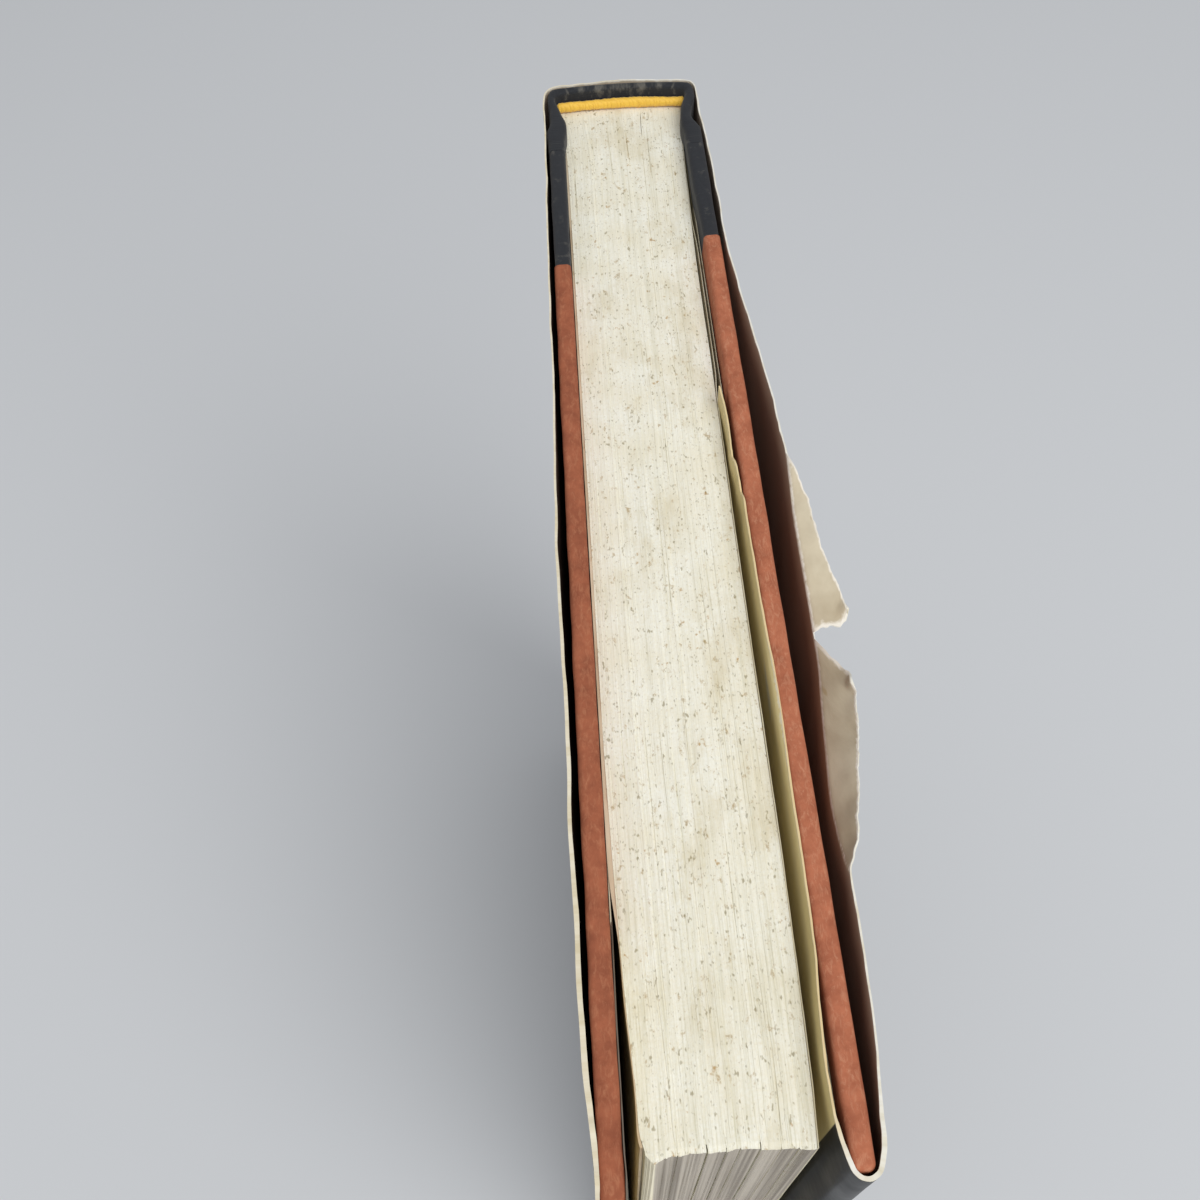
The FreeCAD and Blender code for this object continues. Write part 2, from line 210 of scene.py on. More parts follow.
def smooth_line(points: Sequence[tuple[float, float]], step: float) -> np.ndarray:
    """Run a smooth line through points in plan.

    Args:
        points: the places that it goes through, in order.
        step: the distance between the places that are returned.

    Returns:
        Places along the line, evenly spaced, as rows of x and y.
    """
    knots = np.asarray(points, float)
    at = distances(knots)
    gaps = np.diff(at)
    slopes = np.diff(knots, axis=0) / gaps[:, None]
    weight = (gaps[1:] / (gaps[1:] + gaps[:-1]))[:, None]
    tangents = np.vstack([slopes[:1], slopes[:-1] * weight + slopes[1:] * (1 - weight), slopes[-1:]])
    fine = np.linspace(0, at[-1], len(points) * STEPS_BETWEEN)
    span = np.clip(np.searchsorted(at, fine, side="right") - 1, 0, len(gaps) - 1)
    u = ((fine - at[span]) / gaps[span])[:, None]
    width = gaps[span][:, None]
    line = (2 * u**3 - 3 * u**2 + 1) * knots[span] + (u**3 - 2 * u**2 + u) * width * tangents[span]
    line += (3 * u**2 - 2 * u**3) * knots[span + 1] + (u**3 - u**2) * width * tangents[span + 1]
    run = distances(line)
    even = np.linspace(0, run[-1], max(2, round(run[-1] / step) + 1))
    return np.stack([np.interp(even, run, line[:, k]) for k in (0, 1)], axis=1)


def stations(start: float, *runs: tuple[float, float]) -> np.ndarray:
    """Heights or places to build at, closer together where there is more to show.

    Args:
        start: the first place.
        runs: pairs of an end and the spacing that leads up to it.

    Returns:
        The places, from the first end to the last.
    """
    places = [start]
    for end, spacing in runs:
        count = max(1, round(abs(end - places[-1]) / spacing))
        places.extend(np.linspace(places[-1], end, count + 1)[1:])
    return np.asarray(places)


def opened(points: np.ndarray, side: Side) -> np.ndarray:
    """Carry points of a closed back cover to the side and angle that the cover stands at.

    Args:
        points: places in millimetres.
        side: the cover they belong to. The front one is the mirror image.

    Returns:
        The places where they stand at rest.
    """
    moved = points.copy()
    if side is Side.FRONT:
        moved[..., 0] = -points[..., 0]
        return moved
    x, y = points[..., 0] - HINGE_X, points[..., 1] - HINGE_Y
    moved[..., 0] = HINGE_X + x * math.cos(BACK_OPENING) - y * math.sin(BACK_OPENING)
    moved[..., 1] = HINGE_Y + x * math.sin(BACK_OPENING) + y * math.cos(BACK_OPENING)
    return moved


def make_object(name: str, verts: np.ndarray, faces: list, chart: np.ndarray, finishes: Sequence[Material],
                slots: np.ndarray | None = None, smooth: bool = True) -> Piece:
    """Make one piece.

    Args:
        name: the piece's name.
        verts: places in the book's millimetres.
        faces: the corner numbers of each face.
        chart: for each place, the three numbers that its finish is laid out by, in millimetres.
        finishes: the piece's materials.
        slots: which material each face has, if it has more than one.
        smooth: whether all but its sharp edges are shaded smooth.

    Returns:
        The new object, in the model's frame.
    """
    mesh = bpy.data.meshes.new(name)
    mesh.from_pydata(DATUM.metres(verts).tolist(), [], faces)
    attribute = mesh.attributes.new("chart", "FLOAT_VECTOR", "POINT")
    attribute.data.foreach_set("vector", chart.astype(np.float32).ravel())
    for finish in finishes:
        mesh.materials.append(finish)
    if slots is not None:
        mesh.polygons.foreach_set("material_index", slots.astype(np.int32))
    work = bmesh.new()
    work.from_mesh(mesh)
    bmesh.ops.recalc_face_normals(work, faces=work.faces)
    if smooth:
        for polygon in work.faces:
            polygon.smooth = True
        for edge in work.edges:
            edge.smooth = len(edge.link_faces) == 2 and edge.calc_face_angle(0) < SHARP
    work.to_mesh(mesh)
    work.free()
    made = bpy.data.objects.new(name, mesh)
    bpy.context.scene.collection.objects.link(made)
    log.info("%s: %d faces", name, len(faces))
    return made


def tube(count: int, ring: int, turn: int = 0) -> list:
    """The faces of a closed tube, made of rings of places and capped at both ends.

    Args:
        count: how many rings there are.
        ring: how many places each has.
        turn: which place of a ring its cap starts from.

    Returns:
        The corner numbers of each face.
    """
    index = np.arange(count * ring).reshape(count, ring)
    onward = np.roll(index, -1, 1)
    faces = [np.stack([index[:-1], onward[:-1], onward[1:], index[1:]], -1).reshape(-1, 4)]
    for end in (index[0], index[-1]):
        start = np.roll(end, -turn)
        near, far = start[:ring // 2], start[::-1][:ring // 2]
        faces.append(np.stack([near[:-1], near[1:], far[1:], far[:-1]], -1))
    return np.vstack(faces).tolist()


def make_sheet(name: str, face: np.ndarray, back: np.ndarray, chart: np.ndarray,
               finishes: Sequence[Material], kept: np.ndarray | None = None) -> Piece:
    """Make a thin piece from the two grids of points that are its face and its back.

    Args:
        name: the piece's name.
        face: grid of places on one face, in the book's millimetres.
        back: the matching places on the other.
        chart: what the finishes are laid out by, on the same grid.
        finishes: materials of the face, the back and the cut edge.
        kept: which cells of the grid are there. All are, if this is left out.

    Returns:
        The new object.
    """
    rows, columns = face.shape[:2]
    index = np.arange(rows * columns).reshape(rows, columns)
    if kept is None:
        kept = np.ones((rows - 1, columns - 1), bool)
    cells = np.stack([index[:-1, :-1], index[:-1, 1:], index[1:, 1:], index[1:, :-1]], -1)[kept]
    padded = np.pad(kept, 1)
    across = padded[1:, 1:-1] != padded[:-1, 1:-1]
    upright = padded[1:-1, 1:] != padded[1:-1, :-1]
    rims = np.vstack([np.stack([index[:, :-1], index[:, 1:]], -1)[across],
                      np.stack([index[:-1, :], index[1:, :]], -1)[upright]])
    other = rows * columns
    rim_faces = np.column_stack([rims, rims[:, ::-1] + other])
    faces = np.vstack([cells, cells[:, ::-1] + other, rim_faces])
    slots = np.repeat([0, 1, 2], [len(cells), len(cells), len(rim_faces)])
    verts = np.vstack([face.reshape(-1, 3), back.reshape(-1, 3)])
    charts = np.vstack([chart.reshape(-1, 3)] * 2)
    used, faces = np.unique(faces, return_inverse=True)
    return make_object(name, verts[used], faces.reshape(-1, 4).tolist(), charts[used], finishes, slots)


def thickened(face: np.ndarray, thickness: np.ndarray | float) -> np.ndarray:
    """The back of a sheet, from its face.

    Args:
        face: grid of places. The back lies on the side that rows crossed with columns points away from.
        thickness: how far the back lies behind each place.

    Returns:
        The grid of places on the back.
    """
    normal = np.cross(np.gradient(face, axis=1), np.gradient(face, axis=0))
    normal /= np.linalg.norm(normal, axis=-1, keepdims=True)
    return face - normal * np.asarray(thickness, float)[..., None]


# ---- finishes ------------------------------------------------------------------------------------

# The mix node's sockets, when it mixes colours.
MIX_FACTOR, MIX_A, MIX_B, MIX_RESULT = 0, 6, 7, 2


def linear(colour: str) -> tuple[float, float, float, float]:
    """Turn an sRGB colour such as "#A0522D" to the linear values that shaders work in."""
    channels = [int(colour[i:i + 2], 16) / 255 for i in (1, 3, 5)]
    return (*(c / 12.92 if c <= 0.04045 else ((c + 0.055) / 1.055) ** 2.4 for c in channels), 1.0)


def put(tree: Tree, kind: str, inputs: dict | None = None, **settings: object) -> Sequence[Socket]:
    """Add a node, with its settings, its inputs' values and its links.

    Args:
        tree: the material's nodes.
        kind: the node's type, without the word ShaderNode.
        inputs: a value or another node's output for each named or numbered input.
        settings: the node's own properties.

    Returns:
        The new node's outputs.
    """
    made = tree.nodes.new("ShaderNode" + kind)
    for name, value in settings.items():
        setattr(made, name, value)
    for key, value in (inputs or {}).items():
        if isinstance(value, Socket):
            tree.links.new(value, made.inputs[key])
        else:
            made.inputs[key].default_value = value
    return made.outputs


def tinted(tree: Tree, base: Socket | str, tint: Socket | str, value: Socket, low: float, high: float,
           most: Socket | float = 1.0) -> Socket:
    """Lay a tint over a colour where a value passes from low to high.

    Args:
        tree: the material's nodes.
        base: the colour below.
        tint: the colour on top.
        value: what decides where the tint shows.
        low: the value where none of it shows.
        high: the value where most of it shows.
        most: how much of it shows there.

    Returns:
        The mixed colour.
    """
    share = put(tree, "MapRange", {"Value": value, "From Min": low, "From Max": high, "To Max": most})[0]
    below, above = (linear(colour) if isinstance(colour, str) else colour for colour in (base, tint))
    return put(tree, "Mix", {MIX_FACTOR: share, MIX_A: below, MIX_B: above}, data_type="RGBA")[MIX_RESULT]


def surfaced(tree: Tree, height: Socket, strength: float, depth_mm: float, inputs: dict) -> Socket:
    """Shade a surface that has a fine relief.

    Args:
        tree: the material's nodes.
        height: the relief.
        strength: how strongly it shows.
        depth_mm: how deep it is.
        inputs: the shader's other inputs.

    Returns:
        The shader.
    """
    relief = put(tree, "Bump", {"Height": height, "Strength": strength, "Distance": depth_mm * MM})[0]
    return put(tree, "BsdfPrincipled", {**inputs, "Normal": relief})[0]


class Layout(Enum):
    """What a finish is laid out by: a piece's own chart, or its place in the book."""

    CHART = "chart"
    PLACE = "place"


class Finish:
    """A real material with the surface that its making and use gave it."""

    layout: Layout = Layout.CHART

    def material(self) -> Material:
        """Make the material's nodes.

        Returns:
            The new material, named for what it is.
        """
        made = bpy.data.materials.new(type(self).__name__)
        made.use_nodes = True
        tree = made.node_tree
        tree.nodes.clear()
        if self.layout is Layout.CHART:
            at = put(tree, "Attribute", attribute_name="chart")["Vector"]
        else:
            place = put(tree, "TexCoord")["Object"]
            at = put(tree, "VectorMath", {0: place, "Scale": 1 / MM}, operation="SCALE")[0]
        put(tree, "OutputMaterial", {"Surface": self.shade(tree, at)})
        return made

    def shade(self, tree: Tree, at: Socket) -> Socket:
        """Build the shader. Each finish has its own.

        Args:
            tree: the material's nodes.
            at: the place on the piece's chart or in the book, in millimetres.

        Returns:
            The shader.
        """
        raise NotImplementedError


@dataclass(frozen=True)
class Stain:
    """One kind of mark that damp leaves on paper."""

    tint: str
    size_mm: float
    least: float
    most: float
    strength: float
    stretch: float
    detail: float
    seed: float


@dataclass(frozen=True)
class CutLeaves(Finish):
    """Bulky uncoated book paper, cut in a stack: cream, matt, streaked leaf by leaf with some painted shade
    between the leaves, and foxed by damp.
    """

    cream: str = "#F0EAD5"
    pale: str = "#F7F5E8"
    streak: str = "#C0BA98"
    fore_grey: str = "#C3BAAD"
    band_shade: str = "#8A8177"
    clean: str = "#FCF4DA"
    highlight_x: float = -5.9
    streak_mm: float = 0.17
    stains: tuple[Stain, ...] = (
        Stain("#C2AE78", 6.0, 0.52, 0.74, 0.4, 0.5, 5.0, 80.0),
        Stain("#A27F30", 1.0, 0.6, 0.7, 0.6, 0.65, 4.0, 0.0),
        Stain("#7A6824", 0.46, 0.645, 0.73, 0.56, 0.5, 1.5, 40.0),
        Stain("#7C7046", 0.32, 0.645, 0.75, 0.46, 0.5, 1.0, 120.0),
        Stain("#B08430", 1.5, 0.672, 0.74, 0.72, 0.8, 3.0, 160.0),
    )

    def shade(self, tree: Tree, at: Socket) -> Socket:
        """Leaf-edge streaks, soft clouds, stains, a grey fore-edge banded with painted shade, and a painted
        highlight on its fanned corner.

        Args:
            tree: the material's nodes.
            at: the place on the block, in millimetres.

        Returns:
            The shader.
        """
        place = put(tree, "SeparateXYZ", {0: at})
        # A leaf is 0.1 mm thick. The streaks are two leaves wide and broader, as coarse as they need to show.
        layers = []
        for leaves, length in ((1, 9.0), (3, 26.0), (9, 60.0)):
            scale = (1 / (self.streak_mm * leaves), 1 / length, 1 / length)
            drawn = put(tree, "VectorMath", {0: at, 1: scale}, operation="MULTIPLY")[0]
            layers.append(put(tree, "TexNoise", {"Vector": drawn, "Scale": 1.0, "Detail": 3.0,
                                                 "Roughness": 0.7})["Fac"])
        clouds = put(tree, "TexNoise", {"Vector": at, "Scale": 0.2, "Detail": 5.0})["Fac"]
        grain = put(tree, "TexNoise", {"Vector": at, "Scale": 3.0, "Detail": 4.0, "Roughness": 0.7})["Fac"]
        share = put(tree, "Math", {0: clouds, 1: grain}, operation="MULTIPLY")[0]
        colour = tinted(tree, self.cream, self.pale, share, 0.15, 0.36)
        # The streaks are partly painted shade between the leaves. They are strongest where the leaves stand
        # apart, towards the fore-edge.
        loose = put(tree, "MapRange", {"Value": place["Y"], "From Min": -35.0, "From Max": FORE_Y,
                                       "To Min": 1.0, "To Max": 1.8})[0]
        for layer, strength in zip(layers, (0.3, 0.18, 0.1)):
            most = put(tree, "Math", {0: loose, 1: strength}, operation="MULTIPLY")[0]
            colour = tinted(tree, colour, self.streak, layer, 0.5, 0.7, most)
        for stain in self.stains:
            moved = put(tree, "VectorMath", {0: at, 1: (1.0, stain.stretch, 1.0), 2: (stain.seed,) * 3},
                        operation="MULTIPLY_ADD")[0]
            damp = put(tree, "TexNoise", {"Vector": moved, "Scale": 1 / stain.size_mm, "Detail": stain.detail,
                                          "Roughness": 0.68})["Fac"]
            colour = tinted(tree, colour, stain.tint, damp, stain.least, stain.most, stain.strength)
        # The fore-edge faces take a grey, with bands of painted shade where groups of leaves tilt.
        bands = []
        for width, offset in ((0.28, 5.0), (1.1, 9.0)):
            drawn = put(tree, "VectorMath", {0: at, 1: (1 / width, 0.0, 1 / 90.0), 2: (offset,) * 3},
                        operation="MULTIPLY_ADD")[0]
            bands.append(put(tree, "TexNoise", {"Vector": drawn, "Scale": 1.0, "Detail": 1.0})["Fac"])
        banded = put(tree, "Math", {0: bands[0], 1: bands[1]}, operation="ADD")[0]
        fore_tone = tinted(tree, self.fore_grey, self.band_shade, banded, 0.78, 1.22)
        # The first few leaves have fanned over the corner. Their fore-edges get a painted highlight of bright
        # cream instead of the grey.
        fore_tone = tinted(tree, self.clean, fore_tone, place["X"], self.highlight_x - 0.08, self.highlight_x + 0.08)
        # Only the faces that look towards the fore-edge take this grey and its painted shade.
        facing = put(tree, "SeparateXYZ", {0: put(tree, "TexCoord")["Normal"]})["Y"]
        colour = tinted(tree, colour, fore_tone, facing, -0.4, -0.8, 0.95)
        height = put(tree, "Math", {0: layers[0], 1: grain}, operation="ADD")[0]
        return surfaced(tree, height, 0.35, 0.08, {"Base Color": colour, "Roughness": 0.9, "IOR": 1.45,
                                                   "Specular IOR Level": 0.25})


@dataclass(frozen=True)
class UncoatedPaper(Finish):
    """Machine-made uncoated paper: soft cream, matt, faintly cloudy, with a fine fibre tooth."""

    cream: str = "#E4DDC4"
    tone: str = "#CFC5A6"
    spot: str = "#A58C5C"
    fibre_mm: float = 0.3
    rim_mm: float = 0.0
    rim: str = "#EFE8DA"
    depth_shade: tuple[str, str] | None = None
    layout: Layout = Layout.CHART

    def shade(self, tree: Tree, at: Socket) -> Socket:
        """Clouds of tone, foxed spots and the fibres' tooth, with painted shade in its depth or a worn rim if
        asked.

        Args:
            tree: the material's nodes.
            at: the place on the sheet, in millimetres. The painted shade goes by its Y, a rim by its Z.

        Returns:
            The shader.
        """
        clouds = put(tree, "TexNoise", {"Vector": at, "Scale": 0.08, "Detail": 5.0, "Roughness": 0.6})["Fac"]
        fibres = put(tree, "TexNoise", {"Vector": at, "Scale": 1 / self.fibre_mm, "Detail": 3.0})["Fac"]
        colour = tinted(tree, self.cream, self.tone, clouds, 0.35, 0.7)
        cell = put(tree, "TexVoronoi", {"Vector": at, "Scale": 0.2}, feature="F1")["Distance"]
        colour = tinted(tree, colour, self.spot, cell, 0.12, 0.06, 0.5)
        place = put(tree, "SeparateXYZ", {0: at})
        if self.depth_shade:
            # Painted shade: the sheet browns and darkens with depth below the head, where it lies in the
            # shaded gap beside the red board, and its head stays pale.
            for tint, top, reach in zip(self.depth_shade, (CASE_HEIGHT, CASE_HEIGHT - 0.6), (0.5, 3.5)):
                colour = tinted(tree, colour, tint, place["Y"], top, top - reach, 0.9)
        if self.rim_mm:
            frayed = put(tree, "TexNoise", {"Vector": at, "Scale": 1.3, "Detail": 4.0})["Fac"]
            frayed = put(tree, "Math", {0: frayed, 1: 3 * self.rim_mm, 2: -0.5 * self.rim_mm},
                         operation="MULTIPLY_ADD")[0]
            inward = put(tree, "Math", {0: frayed, 1: place["Z"]}, operation="SUBTRACT")[0]
            colour = tinted(tree, colour, self.rim, inward, -0.1, 0.06)
        return surfaced(tree, fibres, 0.25, 0.05, {"Base Color": colour, "Roughness": 0.85, "IOR": 1.45,
                                                   "Specular IOR Level": 0.3})


@dataclass(frozen=True)
class TornPaper(Finish):
    """The cut and torn edges of the jacket's paper, where wear has raised its pale fibres."""

    pale: str = "#EEEBE0"
    soiled: str = "#DFD6BF"
    flap: str = "#D9BE8C"
    flap_reach_mm: tuple[float, float] = (2.0, 7.0)
    fibre_mm: float = 2.2

    def shade(self, tree: Tree, at: Socket) -> Socket:
        """Pale fibres with soiled patches.

        Args:
            tree: the material's nodes.
            at: the place on the sheet, in millimetres.

        Returns:
            The shader.
        """
        patches = put(tree, "TexNoise", {"Vector": at, "Scale": 1 / self.fibre_mm, "Detail": 4.0,
                                         "Roughness": 0.7})["Fac"]
        colour = tinted(tree, self.pale, self.soiled, patches, 0.42, 0.68)
        # Along the flap the edges take the flap colour. On the front flap this is painted shade, dark where
        # its edge stands in the gap beside the board.
        run = put(tree, "SeparateXYZ", {0: at})["X"]
        colour = tinted(tree, colour, self.flap, run, *self.flap_reach_mm, 0.9)
        return surfaced(tree, patches, 0.4, 0.1, {"Base Color": colour, "Roughness": 0.95, "IOR": 1.45,
                                                  "Specular IOR Level": 0.2})


@dataclass(frozen=True)
class VarnishedJacket(Finish):
    """Coated art paper printed charcoal and varnished: glossy, scuffed, and rubbed pale at its edges."""

    charcoal: str = "#101214"
    scuff: str = "#34383D"
    ivory: str = "#E6D6A0"
    ivory_tone: str = "#D8C488"
    worn: str = "#ECE3C8"
    band_mm: float = 5.6
    wear_mm: float = 0.3
    roughness: float = 0.36

    def shade(self, tree: Tree, at: Socket) -> Socket:
        """The dark print and the ivory flap, their scuffs, and the worn line along the edges.

        Args:
            tree: the material's nodes.
            at: along the sheet from the fore-edge fold, up, and in from the nearest edge, in millimetres.

        Returns:
            The shader.
        """
        parts = put(tree, "SeparateXYZ", {0: at})
        flat = put(tree, "CombineXYZ", {0: parts["X"], 1: parts["Y"]})[0]
        cloud = put(tree, "TexNoise", {"Vector": flat, "Scale": 0.07, "Detail": 5.0,
                                       "Roughness": 0.62})["Fac"]
        fine = put(tree, "TexNoise", {"Vector": flat, "Scale": 1.1, "Detail": 4.0, "Roughness": 0.7})["Fac"]
        dark = tinted(tree, self.charcoal, self.scuff, fine, 0.56, 0.76, 0.35)
        pale = tinted(tree, self.ivory, self.ivory_tone, cloud, 0.0, 1.0)
        colour = tinted(tree, dark, pale, parts["X"], self.band_mm - 0.05, self.band_mm + 0.05)
        frayed = put(tree, "Math", {0: fine, 1: self.wear_mm * 2.4, 2: -self.wear_mm * 0.75},
                     operation="MULTIPLY_ADD")[0]
        edge = put(tree, "Math", {0: frayed, 1: parts["Z"]}, operation="SUBTRACT")[0]
        wear = put(tree, "MapRange", {"Value": edge, "From Min": -0.08, "From Max": 0.08})[0]
        colour = tinted(tree, colour, self.worn, wear, 0.0, 1.0)
        rough = put(tree, "MapRange", {"Value": cloud, "From Min": 0.3, "From Max": 0.7,
                                       "To Min": self.roughness - 0.07, "To Max": self.roughness + 0.14})[0]
        dulled = put(tree, "Math", {0: wear, 1: 0.5, 2: rough}, operation="MULTIPLY_ADD")[0]
        return surfaced(tree, cloud, 0.3, 0.3, {"Base Color": colour, "Roughness": dulled, "IOR": 1.5,
                                                "Specular IOR Level": 0.16})


@dataclass(frozen=True)
class BookCloth(Finish):
    """Starch-filled cotton book cloth, dyed blue-black: a fine weave, matt, rubbed grey where handled."""

    dye: str = "#212327"
    thread: str = "#2D2F33"
    rubbed: str = "#77736A"
    thread_mm: float = 0.38
    head_rub: float = 0.0

    def shade(self, tree: Tree, at: Socket) -> Socket:
        """The weave, uneven dye and rubbed patches.

        Args:
            tree: the material's nodes.
            at: the place on the cloth, in millimetres.

        Returns:
            The shader.
        """
        parts = put(tree, "SeparateXYZ", {0: at})
        # Real threads lie 0.25 mm apart. They are drawn half as far apart again, so that they show.
        across = put(tree, "Math", {0: parts["X"], 1: parts["Z"]}, operation="ADD")[0]
        waves = []
        for part in (parts["Y"], across):
            turn = put(tree, "Math", {0: part, 1: 2 * math.pi / self.thread_mm}, operation="MULTIPLY")[0]
            waves.append(put(tree, "Math", {0: turn}, operation="SINE")[0])
        weave = put(tree, "Math", {0: waves[0], 1: waves[1]}, operation="MULTIPLY")[0]
        weave = put(tree, "MapRange", {"Value": weave, "From Min": -1.0})[0]
        patches = put(tree, "TexNoise", {"Vector": at, "Scale": 0.5, "Detail": 6.0, "Roughness": 0.65})["Fac"]
        grit = put(tree, "TexNoise", {"Vector": at, "Scale": 2.2, "Detail": 5.0, "Roughness": 0.7})["Fac"]
        woven = put(tree, "Math", {0: weave, 1: 0.3, 2: grit}, operation="MULTIPLY_ADD")[0]
        colour = tinted(tree, self.dye, self.thread, woven, 0.4, 0.95)
        # Hands have rubbed the head of the spine more than the rest.
        top = put(tree, "MapRange", {"Value": parts["Z"], "From Min": CASE_HEIGHT - 2.2,
                                     "From Max": CASE_HEIGHT - 0.2, "To Max": self.head_rub})[0]
        at_spine = put(tree, "MapRange", {"Value": parts["X"], "From Min": 9.4, "From Max": 8.0})[0]
        handled = put(tree, "Math", {0: top, 1: at_spine, 2: patches}, operation="MULTIPLY_ADD")[0]
        colour = tinted(tree, colour, self.rubbed, handled, 0.58, 0.8, 0.75)
        height = put(tree, "Math", {0: weave, 1: 0.4, 2: grit}, operation="MULTIPLY_ADD")[0]
        return surfaced(tree, height, 0.3, 0.06, {"Base Color": colour, "Roughness": 0.82, "IOR": 1.5,
                                                  "Specular IOR Level": 0.35, "Sheen Weight": 0.1})


@dataclass(frozen=True)
class FibrousSidePaper(Finish):
    """Dyed sugar paper pasted over board: brick red, felted and matt, with paler fibres."""

    brick: str = "#BD7354"
    deep: str = "#A35F44"
    fibre: str = "#CE9474"
    fibre_mm: float = 0.45

    def shade(self, tree: Tree, at: Socket) -> Socket:
        """Mottled dye, short fibres and a felted tooth.

        Args:
            tree: the material's nodes.
            at: the place on the cover, in millimetres.

        Returns:
            The shader.
        """
        mottle = put(tree, "TexNoise", {"Vector": at, "Scale": 0.45, "Detail": 6.0, "Roughness": 0.7})["Fac"]
        drawn = put(tree, "VectorMath", {0: at, 1: (1.0, 0.35, 0.5)}, operation="MULTIPLY")[0]
        fibres = put(tree, "TexNoise", {"Vector": drawn, "Scale": 1 / self.fibre_mm, "Detail": 5.0,
                                        "Roughness": 0.75, "Distortion": 0.8})["Fac"]
        colour = tinted(tree, self.deep, self.brick, mottle, 0.35, 0.65)
        colour = tinted(tree, colour, self.fibre, fibres, 0.5, 0.72, 0.7)
        return surfaced(tree, fibres, 0.45, 0.08, {"Base Color": colour, "Roughness": 0.86, "IOR": 1.45,
                                                   "Specular IOR Level": 0.3})


@dataclass(frozen=True)
class RolledBand(Finish):
    """Mercerised cotton headband, yellow: a soft thread sheen, with painted shade between its ribs."""

    gold: str = "#FACB48"
    roll_shade: str = "#B97413"
    thread_mm: float = 0.28

    def shade(self, tree: Tree, at: Socket) -> Socket:
        """Threads that run round the roll, and painted shade between the ribs.

        Args:
            tree: the material's nodes.
            at: along the band, round it, and the rib's height, in millimetres.

        Returns:
            The shader.
        """
        parts = put(tree, "SeparateXYZ", {0: at})
        drawn = put(tree, "VectorMath", {0: at, 1: (1 / self.thread_mm, 0.5, 0.5)}, operation="MULTIPLY")[0]
        threads = put(tree, "TexNoise", {"Vector": drawn, "Scale": 1.0, "Detail": 3.0})["Fac"]
        depth = put(tree, "MapRange", {"Value": parts["Z"], "From Min": 0.35, "From Max": -1.0,
                                       "To Max": 0.8})[0]
        shade = put(tree, "Math", {0: threads, 1: 0.3, 2: depth}, operation="MULTIPLY_ADD")[0]
        # Painted shadow along the foot of the roll, where it sits on the leaves.
        foot = put(tree, "MapRange", {"Value": parts["Y"], "From Min": math.pi * 1.12,
                                      "From Max": math.pi * 1.3, "To Max": 0.55})[0]
        shade = put(tree, "Math", {0: shade, 1: foot}, operation="ADD", use_clamp=True)[0]
        colour = tinted(tree, self.gold, self.roll_shade, shade, 0.0, 1.0)
        return surfaced(tree, threads, 0.4, 0.05, {"Base Color": colour, "Roughness": 0.6, "IOR": 1.5,
                                                   "Sheen Weight": 0.3})


@dataclass(frozen=True)
class PulpBoard(Finish):
    """Grey pulp board, rolled and cut: matt, with flecks of the waste paper it was made from."""

    grey: str = "#8D8980"
    fleck: str = "#5E5B55"
    fleck_mm: float = 0.7
    roughness: float = 0.92
    layout: Layout = Layout.PLACE

    def shade(self, tree: Tree, at: Socket) -> Socket:
        """Flecks on a clouded ground.

        Args:
            tree: the material's nodes.
            at: the place in the book, in millimetres.

        Returns:
            The shader.
        """
        flecks = put(tree, "TexNoise", {"Vector": at, "Scale": 1 / self.fleck_mm, "Detail": 4.0,
                                        "Roughness": 0.7})["Fac"]
        colour = tinted(tree, self.grey, self.fleck, flecks, 0.5, 0.7)
        return surfaced(tree, flecks, 0.3, 0.08, {"Base Color": colour, "Roughness": self.roughness,
                                                  "IOR": 1.45})


# ---- text block ----------------------------------------------------------------------------------


